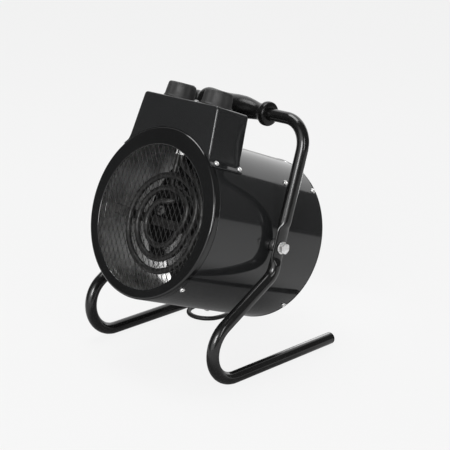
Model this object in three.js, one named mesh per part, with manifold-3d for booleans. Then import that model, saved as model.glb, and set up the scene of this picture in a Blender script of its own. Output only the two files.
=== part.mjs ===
// A portable forced air heater: a steel drum that tilts in a stand bent from one tube, with a
// control box on top, a fan and a spiral heating element inside, and a mains lead at the back.
// Millimetres, +Z up, air blows towards -Y, origin on the floor under the middle of the unit.
import * as THREE from "three";
import { mergeVertices } from "three/addons/utils/BufferGeometryUtils.js";
import Module from "manifold-3d";

const wasm = await Module();
wasm.setup();

// ---------------------------------------------------------------- driving dimensions
const GAP = 0.3; // between faces that touch on the real unit
const AROUND = 48; // facets round the drum
const RUNNING = 0.35; // radial clearance of a screw or shaft in its hole
const HEXAGON = 0.94; // apothem of a tube's six-sided section over its round radius

const drum = { radius: 111, wall: 1.2, front: -108.4, rear: 94.4, tilt: 21.24, pivotHeight: 165.06 };
const bezel = { front: -118.45, rear: -108.8, sheet: 1.4, corner: 3, opening: 93.4, drop: 5, skirt: 8.6 };
const frontNet = { thickness: 1.2, cellWide: 12.6, cellHigh: 27.6, strand: 2.1, rim: 2.5, lean: 14 };
const rearNet = { thickness: 1.2, cellWide: 16, cellHigh: 35, strand: 2.4, rim: 3.5, lean: 14, radius: 90 };
const liner = { radius: 100, wall: 1, rear: -22, flange: 1, slotWide: 40, slotFront: -104, slotRear: -72 };
const rearRing = { sheet: 1.24, lip: 111.4, inner: 86, skirt: 10.5, depth: 95.94 };
const box = {
  top: 150, halfWidth: 67.8, spread: 0.115, front: -116.8, rear: -58.6, sheet: 1.2, corner: 5, foot: 72,
  flange: 6.5, flangeAngle: 46.9,
};
const wiring = { halfWidth: 24, front: -98, rear: -72 };
const stand = {
  tube: 8, wall: 1.2, footHalf: 117.65, kneeHalf: 122, topHalf: 123.7, footRear: 106.4,
  frontCorner: -224.3, frontRadius: 40, kneeY: -11.6, kneeZ: 130.8, kneeRadius: 24,
  barY: 49.6, barZ: 318.8, topRadius: 36.4,
  flatHalf: 3.75, flatWide: 10.7, flatLow: 143, flatHigh: 195, flatBlend: 9,
};
const cap = { rim: 1.4, dome: 4.2, spigot: 12 };
const bolt = { shank: 4, across: 13, head: 5.3, washer: 8, washerThick: 1.6, tail: 13 };
const spacer = { outer: 8, inner: 4.4 };
const element = { tube: 4, hole: 4.8, plane: -91, drop: 9.5, outer: 62.4, middle: 46, inner: 29.5, back: -79 };
const terminal = { left: -14.5, right: 3.2, plate: 89.3, plateThick: 1.5, nutHigh: 8, bead: 5, stud: 2, top: 117 };
const fan = { plane: -8, hub: 20, hubLong: 24, tip: 84, blades: 5, sheet: 1.4, pitch: 32, root: 14 };
const motor = { radius: 37, front: 12.6, rear: 64, boss: 14, shaft: 4 };
const bracket = { front: 9.7, sheet: 2, arm: 11, tab: 32, ring: 24 };
const knob = { base: 21, top: 18.8, high: 20.4, lobes: 6, scallop: 1, place: 34, row: -86.4, skirt: 1.6 };
const shaft = { radius: 3, hole: 4.4, rise: 10 };
const lamp = { radius: 3.6, high: 3.8, collar: 5, row: -88 };
const screw = { head: 3.4, high: 2.3, shank: 1.9, long: 7 };
const grip = { wall: 8.5, under: 10.2 };
const gland = { x: -80, h: -56, nut: 9, nutLong: 6, root: 6.4, tip: 4.3, sleeve: 24, spigot: 5 };
const cord = {
  radius: 3.2, sides: 10, coilX: -100, coilY: 185, coilOuter: 45.6, pitch: 7, layer: 7.1, turns: 4.25,
};
const plug = { body: 18, grip: 13, long: 34, neck: 22, pin: 2.4, pinLong: 19, pinApart: 19, z: 18.3 };

const tilt = THREE.MathUtils.degToRad(drum.tilt);
const PI = Math.PI;

// The unit's depth runs from the bezel's foot to the rear ring's top, and the origin halves it.
const frontReach =
  -(bezel.front + bezel.corner) * Math.cos(tilt) + (drum.radius - bezel.corner) * Math.sin(tilt) + bezel.corner;
const rearReach = rearRing.depth * Math.cos(tilt) + rearRing.lip * Math.sin(tilt);
const pivotY = (frontReach - rearReach) / 2;

// ---------------------------------------------------------------- finishes
const finish = (color, roughness, metalness = 0) => () =>
  new THREE.MeshStandardMaterial({ color, roughness, metalness });
const blackPaint = finish(0x17181a, 0.25, 0.1);
const zinc = finish(0xb8b9b6, 0.3, 1);
const steel = finish(0x8c8d8c, 0.45, 1);
const darkSteel = finish(0x35322f, 0.5, 0.9);
const wire = finish(0x1b1b1c, 0.4, 0.6);
const blackPlastic = finish(0x121213, 0.4);
const greyPlastic = finish(0x3b3c3e, 0.55);
const rubber = finish(0x141414, 0.7);
const ceramic = finish(0xe2ddd0, 0.6);
const lens = finish(0x8d8f8f, 0.15);
const brass = finish(0xb59a55, 0.35, 1);

// ---------------------------------------------------------------- solids and cuts
function solidOf(geometry) {
  const bare = new THREE.BufferGeometry();
  bare.setAttribute("position", geometry.getAttribute("position"));
  bare.setIndex(geometry.index);
  const merged = mergeVertices(bare, 1e-4);
  const made = new wasm.Manifold(
    new wasm.Mesh({
      numProp: 3,
      vertProperties: new Float32Array(merged.attributes.position.array),
      triVerts: new Uint32Array(merged.index.array),
    }),
  );
  if (made.volume() <= 0) throw new Error("a solid is inside out");
  return made;
}

function geometryOf(solid) {
  const mesh = solid.getMesh();
  const geometry = new THREE.BufferGeometry();
  geometry.setAttribute("position", new THREE.BufferAttribute(mesh.vertProperties, 3));
  geometry.setIndex(new THREE.BufferAttribute(mesh.triVerts, 1));
  geometry.computeVertexNormals();
  return geometry;
}

const cut = (body, ...tools) =>
  geometryOf(tools.reduce((left, tool) => left.subtract(solidOf(tool)), solidOf(body)));
const join = (...bodies) => geometryOf(bodies.map(solidOf).reduce((all, one) => all.add(one)));

// A profile of [radius, axial] points turned about Y, whichever way round it is written.
function turned(profile, facets = AROUND) {
  const points = profile.map(([r, y]) => new THREE.Vector2(r, y));
  if (THREE.ShapeUtils.area(points) < 0) points.reverse();
  const onAxis = points.filter((p) => p.x === 0).length;
  if (onAxis === 0) points.push(points[0].clone());
  while (onAxis > 0 && points[0].x !== 0) points.push(points.shift());
  if (onAxis > 0 && points[1].x === 0) points.push(points.shift());
  return new THREE.LatheGeometry(points, facets);
}

const rod = (radius, from, to, facets = 16) =>
  turned([[0, from], [radius, from], [radius, to], [0, to]], facets);
const pipe = (inner, outer, from, to, facets = AROUND) =>
  turned([[inner, from], [outer, from], [outer, to], [inner, to]], facets);
const hexRod = (across, from, to) => rod(across / Math.sqrt(3), from, to, 6);

// A box given by its low and high corners.
function block(low, high) {
  const size = high.map((v, i) => v - low[i]);
  const middle = high.map((v, i) => (v + low[i]) / 2);
  return new THREE.BoxGeometry(...size).translate(...middle);
}

// Rings of points joined by faces, with flat ends; a bore is a second list of rings inside.
function loft(rings, bore) {
  const position = [];
  const index = [];
  const sides = rings[0].length;
  const add = (list) => {
    const first = position.length / 3;
    list.forEach((ring) => ring.forEach((p) => position.push(p.x, p.y, p.z)));
    return first;
  };
  const skin = (first, count, inward) => {
    for (let i = 0; i + 1 < count; i++)
      for (let j = 0; j < sides; j++) {
        const a = first + i * sides + j;
        const b = first + i * sides + ((j + 1) % sides);
        const quad = [a, b, a + sides, b, b + sides, a + sides];
        index.push(...(inward ? quad.reverse() : quad));
      }
  };
  const outer = add(rings);
  const last = (rings.length - 1) * sides;
  skin(outer, rings.length, false);
  if (bore) {
    const inner = add(bore);
    skin(inner, bore.length, true);
    for (let j = 0; j < sides; j++) {
      const k = (j + 1) % sides;
      index.push(outer + j, inner + k, outer + k, outer + j, inner + j, inner + k);
      const [o, q] = [outer + last, inner + (bore.length - 1) * sides];
      index.push(o + j, o + k, q + k, o + j, q + k, q + j);
    }
  } else {
    for (let j = 1; j + 1 < sides; j++) {
      index.push(outer, outer + j + 1, outer + j);
      index.push(outer + last, outer + last + j, outer + last + j + 1);
    }
  }
  const geometry = new THREE.BufferGeometry();
  geometry.setAttribute("position", new THREE.Float32BufferAttribute(position, 3));
  geometry.setIndex(index);
  return geometry;
}

// Straight runs joined by arcs: each corner is [point, radius, steps].
function rounded(corners) {
  const path = [corners[0][0]];
  for (let i = 1; i + 1 < corners.length; i++) {
    const [at, radius, steps] = corners[i];
    const before = corners[i - 1][0].clone().sub(at).normalize();
    const after = corners[i + 1][0].clone().sub(at).normalize();
    const half = before.angleTo(after) / 2;
    const middle = before.clone().add(after).normalize();
    const centre = at.clone().addScaledVector(middle, radius / Math.sin(half));
    const start = at.clone().addScaledVector(before, radius / Math.tan(half)).sub(centre);
    const axis = new THREE.Vector3().crossVectors(after, before).normalize();
    for (let s = 0; s <= steps; s++)
      path.push(start.clone().applyAxisAngle(axis, ((PI - 2 * half) * s) / steps).add(centre));
  }
  path.push(corners.at(-1)[0]);
  return path;
}

// A section carried along a path without twisting: section(point) gives [half across, half deep].
function carried(path, across, section, sides) {
  let normal = across.clone();
  return path.map((point, i) => {
    const ahead = path[Math.min(i + 1, path.length - 1)].clone().sub(point).normalize();
    const behind = point.clone().sub(path[Math.max(i - 1, 0)]).normalize();
    const along = ahead.clone().add(behind).normalize();
    normal = normal.clone().addScaledVector(along, -normal.dot(along)).normalize();
    const deep = new THREE.Vector3().crossVectors(along, normal);
    const [a, b] = section(point);
    const turn = PI / sides;
    return Array.from({ length: sides }, (_, j) => {
      const angle = turn + (2 * PI * j) / sides;
      const k = 1 / Math.cos(turn);
      return point
        .clone()
        .addScaledVector(normal, a * k * Math.cos(angle))
        .addScaledVector(deep, b * k * Math.sin(angle));
    });
  });
}

// ---------------------------------------------------------------- the scene graph
const heater = new THREE.Group();
const unit = new THREE.Group();
unit.position.set(0, pivotY, drum.pivotHeight);
const tilted = new THREE.Group();
tilted.rotation.x = -tilt;
unit.add(tilted);
heater.add(unit);

function node(parent, name, geometry, material) {
  const mesh = new THREE.Mesh(geometry, material());
  mesh.name = name;
  parent.add(mesh);
  return mesh;
}

const sides = [["right", 1], ["left", -1]];

// ---------------------------------------------------------------- fasteners through the shell
// Each screw has its angle round the drum from +X towards the top, its place along the axis, and
// how far its head stands off the drum's centre line.
const onFlange = drum.radius + GAP + box.sheet + GAP;
const onShell = drum.radius + GAP;
const screwPlaces = [
  ["box_front", 46.1, -105, onFlange], ["box_rear", 46.3, -61.8, onFlange],
  ["bezel", -45.9, -105, onShell], ["bracket", 46.4, 31.6, onShell],
  ["rear_top", 45.9, 89.6, onShell], ["rear_low", -44, 89.6, onShell],
].flatMap(([name, angle, s, seat]) => [
  [`screw_${name}_right`, angle, s, seat],
  [`screw_${name}_left`, 180 - angle, s, seat],
]);
screwPlaces.push(["screw_bracket_bottom", 270, 31.6, onShell]);

function radialTurn(angle) {
  const a = THREE.MathUtils.degToRad(angle);
  const out = new THREE.Vector3(Math.cos(a), 0, Math.sin(a));
  return new THREE.Quaternion().setFromUnitVectors(new THREE.Vector3(0, 1, 0), out);
}

const radialTool = (geometry, angle, s) => geometry.applyQuaternion(radialTurn(angle)).translate(0, s, 0);
const screwHoles = (from, to, pick = () => true) =>
  screwPlaces
    .filter(([name]) => pick(name))
    .map(([, angle, s]) => radialTool(rod(screw.shank + RUNNING, from, to, 8), angle, s));

function addScrews() {
  for (const [name, angle, s, seat] of screwPlaces) {
    const geometry = turned([
      [0, -screw.long], [screw.shank, -screw.long], [screw.shank, 0], [screw.head, 0],
      [screw.head, screw.high * 0.4], [screw.head * 0.55, screw.high], [0, screw.high],
    ], 6);
    const mesh = node(tilted, name, geometry, zinc);
    mesh.quaternion.copy(radialTurn(angle));
    mesh.position.set(0, s, 0).add(new THREE.Vector3(0, seat, 0).applyQuaternion(mesh.quaternion));
  }
}

// ---------------------------------------------------------------- drum
function housingShell() {
  const inner = drum.radius - drum.wall;
  const pivots = rod(bolt.shank + RUNNING + 0.05, -drum.radius - 5, drum.radius + 5, 16).rotateZ(PI / 2);
  const hatch = block(
    [-wiring.halfWidth, wiring.front, drum.radius / 2],
    [wiring.halfWidth, wiring.rear, drum.radius + 5],
  );
  return cut(pipe(inner, drum.radius, drum.front, drum.rear), pivots, hatch, ...screwHoles(100, 120));
}

function frontBezel() {
  const { front, rear, sheet, corner, skirt } = bezel;
  const R = drum.radius;
  const tuck = R - drum.wall - 0.4; // the skirt slides inside the shell
  const arc = [0, 1, 2, 3].map((i) => {
    const a = (PI / 6) * i;
    return [R - corner + corner * Math.sin(a), front + corner - corner * Math.cos(a)];
  });
  const ring = turned([
    [bezel.opening - 2 * bezel.drop, front], ...arc, [R, rear], [tuck, rear], [tuck, rear + skirt],
    [tuck - sheet, rear + skirt], [tuck - sheet, front + sheet], [bezel.opening - 2 * bezel.drop, front + sheet],
  ]);
  const opening = rod(bezel.opening, front - 2, front + sheet + 2, AROUND).translate(0, 0, -bezel.drop);
  return cut(ring, opening, ...screwHoles(100, 120));
}

// Expanded mesh: a disc with rows of diamond gaps, the whole ones that lie inside its rim.
function net({ thickness, cellWide, cellHigh, strand, rim, lean }, radius, s) {
  const shape = new THREE.Shape().absarc(0, 0, radius, 0, 2 * PI);
  const diagonal = Math.hypot(cellWide, cellHigh);
  const halfWide = (cellWide / 2) * (1 - (strand * diagonal) / (cellWide * cellHigh));
  const halfHigh = (cellHigh * halfWide) / cellWide;
  const rows = Math.ceil((2 * radius) / cellHigh) * 2;
  for (let row = -rows; row <= rows; row++)
    for (let column = -rows; column <= rows; column++) {
      const x = (column + (row % 2 ? 0.5 : 0)) * cellWide;
      const y = (row * cellHigh) / 2;
      const far = Math.max(Math.hypot(Math.abs(x) + halfWide, y), Math.hypot(x, Math.abs(y) + halfHigh));
      if (far > radius - rim) continue;
      const gap = new THREE.Path();
      gap.moveTo(x + halfWide, y).lineTo(x, y + halfHigh).lineTo(x - halfWide, y).lineTo(x, y - halfHigh);
      shape.holes.push(gap);
    }
  const settings = { depth: thickness, bevelEnabled: false, curveSegments: AROUND / 2 };
  const sheet = new THREE.ExtrudeGeometry(shape, settings).rotateX(PI / 2);
  return sheet.rotateY(-THREE.MathUtils.degToRad(lean)).translate(0, s + thickness, 0);
}

const netRadius = drum.radius - drum.wall - 0.4 - bezel.sheet - GAP;
const netFront = bezel.front + bezel.sheet + GAP;
const linerFront = netFront + frontNet.thickness + GAP;

function innerLiner() {
  const { radius, wall, rear, flange } = liner;
  const lip = netRadius;
  const seat = drum.radius - drum.wall - 0.4;
  const tube = turned([
    [radius - wall, linerFront], [lip, linerFront], [lip, linerFront + flange], [radius, linerFront + flange],
    [radius, rear - flange], [seat, rear - flange], [seat, rear], [radius - wall, rear],
  ]);
  const slot = block(
    [-liner.slotWide / 2, liner.slotFront, radius / 2],
    [liner.slotWide / 2, liner.slotRear, radius + 20],
  );
  return cut(tube, slot);
}

function rearRingPlate() {
  const { sheet, lip, inner, skirt, depth } = rearRing;
  const tuck = drum.radius - drum.wall - 0.4;
  const face = depth - sheet;
  const plate = turned([
    [inner, face], [tuck - sheet, face], [tuck - sheet, face - skirt], [tuck, face - skirt],
    [tuck, face - 0.02], [lip, face - 0.02], [lip, depth], [inner, depth],
  ]);
  const entry = rod(gland.root + RUNNING, face - 2, depth + 2, 12).translate(gland.x, 0, gland.h);
  return cut(plate, entry, ...screwHoles(100, 120));
}

// ---------------------------------------------------------------- heating element
// The sheathed tube drops from the right terminal, runs three narrowing turns and climbs
// behind them to the left terminal.
function elementPath() {
  const { plane, drop, outer, middle, inner, back } = element;
  const points = [];
  const put = (x, s, h) => points.push(new THREE.Vector3(x, s, h));
  const ring = (degrees, r, s = plane) => {
    const a = THREE.MathUtils.degToRad(degrees);
    put(r * Math.cos(a), s, r * Math.sin(a) - drop);
  };
  put(terminal.right, plane, 97);
  put(terminal.right, plane, 80);
  put(terminal.right + 3.5, plane, 71);
  for (let a = 76; a > 0; a -= 12) ring(a, outer + 3 + (11 * a) / 76);
  const spirals = [[outer, middle], [middle, inner]];
  for (const [from, to] of spirals) {
    for (let a = -6; a > -330; a -= 15) ring(a, from);
    for (let a = -334; a > -366; a -= 10) ring(a, from + ((to - from) * (-324 - a)) / 46);
  }
  for (let a = -8; a >= -250; a -= 20) ring(a, inner);
  ring(-266, inner - 1, plane + 2);
  ring(-276, inner + 3, plane + 7);
  put(terminal.left + 6, back - 1, 34);
  put(terminal.left + 1, back, 46);
  put(terminal.left, back, 58);
  put(terminal.left, back, 97);
  return points;
}

function heatingElement() {
  const curve = new THREE.CatmullRomCurve3(elementPath(), false, "centripetal");
  const path = curve.getSpacedPoints(104);
  const round = () => [element.tube * HEXAGON, element.tube * HEXAGON];
  return loft(carried(path, new THREE.Vector3(1, 0, 0), round, 6));
}

const leads = [["right", terminal.right, element.plane], ["left", terminal.left, element.back]];

function terminalPlate() {
  const top = terminal.plate + terminal.plateThick;
  const half = Math.sqrt((liner.radius - liner.wall) ** 2 - top ** 2) - 0.6;
  const plate = block([-half, liner.slotFront - 4, terminal.plate], [half, liner.slotRear + 2, top]);
  return cut(plate, ...leads.map(([, x, s]) => upright(rod(element.hole, 70, 110, 12), x, s)));
}

// A turned piece stood along the drum's own up direction.
const upright = (geometry, x, s) => geometry.rotateX(PI / 2).translate(x, s, 0);

function addTerminals() {
  for (const [side, x, s] of leads) {
    const nutTop = terminal.plate - GAP;
    const nut = cut(
      upright(hexRod(13, nutTop - terminal.nutHigh, nutTop), x, s),
      upright(rod(element.hole, 70, 110, 12), x, s),
    );
    node(tilted, `element_nut_${side}`, nut, zinc);
    const bead = turned([
      [0, 97 + GAP], [terminal.bead, 97 + GAP], [terminal.bead, 105], [terminal.stud, 106],
      [terminal.stud, terminal.top], [0, terminal.top],
    ], 10);
    node(tilted, `element_terminal_${side}`, upright(bead, x, s), ceramic);
  }
}

// A flat bar behind the rings that carries them, with feet turned along the liner's wall.
function elementSupport() {
  const inside = liner.radius - liner.wall - 0.5;
  const front = element.plane + (element.tube * HEXAGON) / Math.cos(PI / 6) + GAP;
  const half = 6;
  const reach = Math.sqrt(inside ** 2 - half ** 2);
  const bar = block([-reach, front, -element.drop - half], [reach, front + 1.5, -element.drop + half]);
  const feet = [1, -1].map((way) => {
    const x = Math.sqrt(inside ** 2 - (element.drop + half) ** 2);
    const [low, high] = way > 0 ? [x - 1.5, x] : [-x, 1.5 - x];
    return block([low, front, -element.drop - half], [high, front + 14, -element.drop + half]);
  });
  const round = rod(inside, front - 1, front + 20, AROUND);
  return geometryOf(solidOf(join(bar, ...feet)).intersect(solidOf(round)));
}

// ---------------------------------------------------------------- fan and motor
function fanWheel() {
  const { plane, hub, hubLong, tip, blades, sheet, pitch, root } = fan;
  const body = turned([
    [0, plane - hubLong / 2], [hub - 3, plane - hubLong / 2], [hub, plane - hubLong / 2 + 3],
    [hub, plane + hubLong / 2], [0, plane + hubLong / 2],
  ], 20);
  const parts = [body];
  for (let i = 0; i < blades; i++) {
    const steps = 5;
    const rings = Array.from({ length: steps + 1 }, (_, k) => {
      const t = k / steps;
      const r = root + (tip - root) * t;
      const width = 22 + 20 * Math.sin(PI * (0.15 + 0.6 * t));
      const angle = THREE.MathUtils.degToRad(pitch + 20 * (1 - t));
      const along = new THREE.Vector3(Math.cos(angle), -Math.sin(angle), 0);
      const across = new THREE.Vector3(Math.sin(angle), Math.cos(angle), 0);
      return [[-width, -sheet], [width, -sheet], [width, sheet], [-width, sheet]].map(([u, v]) =>
        new THREE.Vector3(0, plane, r).addScaledVector(along, u / 2).addScaledVector(across, v / 2));
    });
    parts.push(loft(rings).rotateY((2 * PI * i) / blades));
  }
  const within = rod(tip, plane - 40, plane + 40, 40);
  const bore = rod(motor.shaft + 0.3, plane - 30, plane + 30, 12);
  return geometryOf(solidOf(join(...parts)).intersect(solidOf(within)).subtract(solidOf(bore)));
}

function addFanAndMotor() {
  const front = fan.plane - fan.hubLong / 2;
  node(tilted, "fan_wheel", fanWheel(), steel);
  node(tilted, "motor_shaft", rod(motor.shaft, front - 9, motor.front + 20, 12), steel);
  node(tilted, "fan_nut", pipeHex(12, motor.shaft + 0.3, front - GAP - 6, front - GAP), zinc);
  const body = turned([
    [0, motor.front], [motor.radius - 2, motor.front], [motor.radius, motor.front + 2],
    [motor.radius, motor.rear - 8], [motor.radius - 8, motor.rear], [0, motor.rear],
  ], 32);
  const boss = rod(motor.boss - 2, motor.front - 4, motor.front + 4, 16);
  const bore = rod(motor.shaft + 0.3, motor.front - 10, motor.front + 20 + GAP, 12);
  node(tilted, "fan_motor", cut(join(body, boss), bore), darkSteel);
  node(tilted, "motor_bracket", motorBracket(), steel);
}

function pipeHex(across, inner, from, to) {
  return cut(hexRod(across, from, to), rod(inner, from - 2, to + 2, 12));
}

// A three-armed plate in front of the motor, with tabs turned back along the shell.
function motorBracket() {
  const { front, sheet, arm, tab, ring } = bracket;
  const inside = drum.radius - drum.wall - 0.5;
  const arms = [46.4, 133.6, 270].flatMap((angle) => {
    const turn = -THREE.MathUtils.degToRad(angle);
    const plate = block([0, front, -arm], [inside, front + sheet, arm]);
    const lug = block([inside - 6, front, -arm], [inside + 2, front + tab, arm]);
    const shell = pipe(inside - 1.5, inside, front - 1, front + tab + 1);
    const curved = geometryOf(solidOf(lug.rotateY(turn)).intersect(solidOf(shell)));
    return [plate.rotateY(turn), curved];
  });
  const disc = rod(motor.boss + ring, front, front + sheet, 32);
  const within = rod(inside, front - 1, front + tab + 2, AROUND);
  const centre = rod(motor.boss, front - 2, front + sheet + 2, 24);
  const holes = screwHoles(100, 120, (name) => name.includes("bracket"));
  const whole = solidOf(join(disc, ...arms)).intersect(solidOf(within));
  return cut(geometryOf(whole), centre, ...holes);
}

// ---------------------------------------------------------------- control box
const boxHalf = (h, inset = 0) => box.halfWidth + box.spread * (box.top - h) - inset;

// The box's cross-section, wide at the drum and rounded at the top, pushed along the axis.
function boxBlock(inset, low, from, to) {
  const top = box.top - inset;
  const r = box.corner - inset;
  const half = boxHalf(box.top, inset);
  const shape = new THREE.Shape();
  shape.moveTo(-boxHalf(low, inset), low).lineTo(boxHalf(low, inset), low).lineTo(half, top - r);
  shape.quadraticCurveTo(half, top, half - r, top).lineTo(r - half, top);
  shape.quadraticCurveTo(-half, top, -half, top - r);
  const geometry = new THREE.ExtrudeGeometry(shape, { depth: to - from, bevelEnabled: false, curveSegments: 4 });
  return geometry.rotateX(PI / 2).translate(0, to, 0);
}

function controlBox() {
  const { front, rear, sheet, foot, flange, flangeAngle } = box;
  const seat = drum.radius + GAP + 0.05;
  const walls = cut(
    boxBlock(0, foot, front, rear),
    boxBlock(sheet, foot - 5, front + sheet, rear - sheet),
    rod(seat + 0.2, front - 5, rear + 5, AROUND),
  );
  const wide = THREE.MathUtils.radToDeg(flange / drum.radius);
  const strip = pipe(seat, seat + sheet, front, rear);
  const strips = [1, -1].map((way) => {
    const wedge = new THREE.Shape();
    const [a, b] = [flangeAngle + 0.9, flangeAngle - wide].map((d) => THREE.MathUtils.degToRad(d));
    wedge.moveTo(way * 20 * Math.cos(a), 20 * Math.sin(a));
    wedge.lineTo(way * 140 * Math.cos(a), 140 * Math.sin(a));
    wedge.lineTo(way * 140 * Math.cos(b), 140 * Math.sin(b)).lineTo(way * 20 * Math.cos(b), 20 * Math.sin(b));
    const sector = new THREE.ExtrudeGeometry(wedge, { depth: 200, bevelEnabled: false });
    sector.rotateX(PI / 2);
    return geometryOf(solidOf(strip).intersect(solidOf(sector)));
  });
  const holes = [knob.place, -knob.place].map((x) => upright(rod(shaft.hole, 140, 160, 12), x, knob.row));
  const lampHole = upright(rod(lamp.radius + GAP, 140, 160, 12), 0, lamp.row);
  return cut(join(walls, ...strips), ...holes, lampHole, ...screwHoles(100, 120, (name) => name.includes("box")));
}

// A lobed knob: scalloped sides that lean in, a thin skirt and a pointer rib on top.
function knobBody() {
  const { base, top, high, lobes, scallop, skirt } = knob;
  const count = lobes * 5;
  const level = (z, radius, depth) =>
    Array.from({ length: count }, (_, j) => {
      const angle = (2 * PI * j) / count;
      const r = radius - depth * (0.5 + 0.5 * Math.cos(lobes * angle));
      return new THREE.Vector3(r * Math.cos(angle), r * Math.sin(angle), z);
    });
  const body = loft([
    level(0, base, 0), level(skirt, base, 0), level(skirt + 0.8, base - 0.9, scallop),
    level(high - 1.8, top + 0.4, scallop), level(high - 0.5, top - 0.6, scallop), level(high, top - 2, 0.4),
  ]);
  const rib = block([2, -1.1, high - 1], [top - 3, 1.1, high + 0.9]);
  const bore = rod(shaft.radius + 0.25, -2, shaft.rise + GAP, 12).rotateX(PI / 2);
  return cut(join(body, rib), bore);
}

function addControls() {
  const panel = box.top - box.sheet - GAP;
  const controls = [
    ["thermostat", knob.place, -137, [15, 13, 21]],
    ["mode", -knob.place, 40, [14, 14, 24]],
  ];
  for (const [name, x, turn, [halfX, halfS, deep]] of controls) {
    const place = new THREE.Group();
    place.position.set(x, knob.row, 0);
    tilted.add(place);
    const mesh = node(place, `${name}_knob`, knobBody(), greyPlastic);
    mesh.position.z = box.top + GAP + 0.1;
    mesh.rotation.z = THREE.MathUtils.degToRad(turn);
    const spindle = rod(shaft.radius, panel - 6, box.top + GAP + shaft.rise, 12).rotateX(PI / 2);
    node(place, `${name}_spindle`, spindle, steel);
    const neck = rod(shaft.hole + 2.4, panel - 5, panel, 16).rotateX(PI / 2);
    const body = join(block([-halfX, -halfS, panel - deep], [halfX, halfS, panel - 4]), neck);
    const well = rod(shaft.radius + GAP, panel - 6 - GAP, panel + 2, 12).rotateX(PI / 2);
    node(place, name === "mode" ? "mode_switch" : "thermostat_body", cut(body, well), blackPlastic);
  }
  const dome = turned([
    [0, panel - 8], [lamp.radius, panel - 8], [lamp.radius, box.top + GAP], [lamp.collar, box.top + GAP],
    [lamp.collar, box.top + 1.6], [lamp.radius, box.top + 1.6], [lamp.radius, box.top + lamp.high - 1.6],
    [lamp.radius * 0.6, box.top + lamp.high - 0.3], [0, box.top + lamp.high],
  ], 10);
  node(tilted, "indicator_lamp", upright(dome, 0, lamp.row), lens);
  const cutoutSeat = liner.radius + 0.4;
  const cutout = turned([
    [0, cutoutSeat], [7.5, cutoutSeat], [7.5, cutoutSeat + 4], [5.5, cutoutSeat + 4],
    [5.5, cutoutSeat + 8], [0, cutoutSeat + 8],
  ], 16);
  node(tilted, "thermal_cutout", radialTool(cutout, 62, -52), steel);
}

// ---------------------------------------------------------------- stand
const inUnit = (x, y, z) => new THREE.Vector3(x, y, z - drum.pivotHeight);

// One side of the stand's centre line, from the foot's rear end to the middle of the crossbar.
function standPath() {
  const s = stand;
  const corners = [
    [inUnit(s.footHalf, s.footRear, s.tube)],
    [inUnit(s.footHalf, s.frontCorner, s.tube), s.frontRadius, 7],
    [inUnit(s.kneeHalf, s.kneeY, s.kneeZ), s.kneeRadius, 3],
    [inUnit(s.topHalf, s.barY, s.barZ), s.topRadius, 5],
  ];
  const path = rounded([...corners, [inUnit(0, s.barY, s.barZ)]]);
  const marks = [
    s.flatLow, s.flatLow + s.flatBlend, s.flatHigh - s.flatBlend, s.flatHigh,
  ].map((z) => z - drum.pivotHeight);
  const out = [path[0]];
  for (let i = 1; i < path.length; i++) {
    const [a, b] = [path[i - 1], path[i]];
    marks
      .map((z) => (z - a.z) / (b.z - a.z))
      .filter((t) => t > 0.01 && t < 0.99)
      .sort((p, q) => p - q)
      .forEach((t) => out.push(a.clone().lerp(b, t)));
    out.push(b);
  }
  return out;
}

// The tube is pressed flat where the pivot bolts pass through it.
function standSection(inset) {
  const s = stand;
  return (point) => {
    const z = point.z + drum.pivotHeight;
    const low = (z - s.flatLow) / s.flatBlend;
    const high = (s.flatHigh - z) / s.flatBlend;
    const flat = THREE.MathUtils.clamp(Math.min(low, high), 0, 1);
    return [
      s.tube + (s.flatHalf - s.tube) * flat - inset,
      s.tube + (s.flatWide - s.tube) * flat - inset,
    ];
  };
}

function standTube() {
  const path = standPath();
  const mirrored = (ring) => ring.map((p) => p.clone().setX(-p.x));
  const rings = (inset) => {
    const half = carried(path, new THREE.Vector3(1, 0, 0), standSection(inset), 12);
    return [...half, ...half.slice(0, -1).reverse().map(mirrored)];
  };
  const tube = loft(rings(0), rings(stand.wall));
  return cut(tube, rod(bolt.shank + RUNNING, -200, 200, 12).rotateZ(PI / 2));
}

function addFeetAndPivots() {
  const wallX = stand.kneeHalf + 0.3;
  const inFace = wallX - stand.flatHalf - 0.35;
  const outFace = wallX + stand.flatHalf + 0.35;
  const drumFace = drum.radius + 0.35;
  const washerOut = outFace + bolt.washerThick;
  const nutFace = drum.radius - drum.wall - 0.8;
  for (const [side, way] of sides) {
    const place = (geometry) => geometry.rotateZ((-way * PI) / 2);
    node(unit, `pivot_spacer_${side}`, place(pipe(spacer.inner, spacer.outer, drumFace, inFace, 14)), zinc);
    node(unit, `pivot_washer_${side}`, place(pipe(spacer.inner, bolt.washer, outFace, washerOut, 14)), zinc);
    const headFrom = washerOut + GAP;
    const whole = join(
      hexRod(bolt.across, headFrom, headFrom + bolt.head),
      rod(bolt.shank, drum.radius - bolt.tail, headFrom + 1, 12),
    );
    node(unit, `pivot_bolt_${side}`, place(whole), zinc);
    node(unit, `pivot_nut_${side}`, place(pipeHex(bolt.across, bolt.shank + RUNNING, nutFace - 6.5, nutFace)), zinc);
    const bore = stand.tube - stand.wall - 0.4;
    const end = stand.footRear + GAP;
    const plugEnd = turned([
      [0, end - cap.spigot], [bore, end - cap.spigot], [bore, end], [stand.tube, end],
      [stand.tube, end + cap.rim], [stand.tube * 0.86, end + cap.rim + cap.dome * 0.55],
      [stand.tube * 0.5, end + cap.rim + cap.dome * 0.9], [0, end + cap.rim + cap.dome],
    ], 12);
    const at = inUnit(way * stand.footHalf, 0, stand.tube);
    node(unit, `foot_cap_${side}`, plugEnd, blackPlastic).position.copy(at);
  }
}

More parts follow.
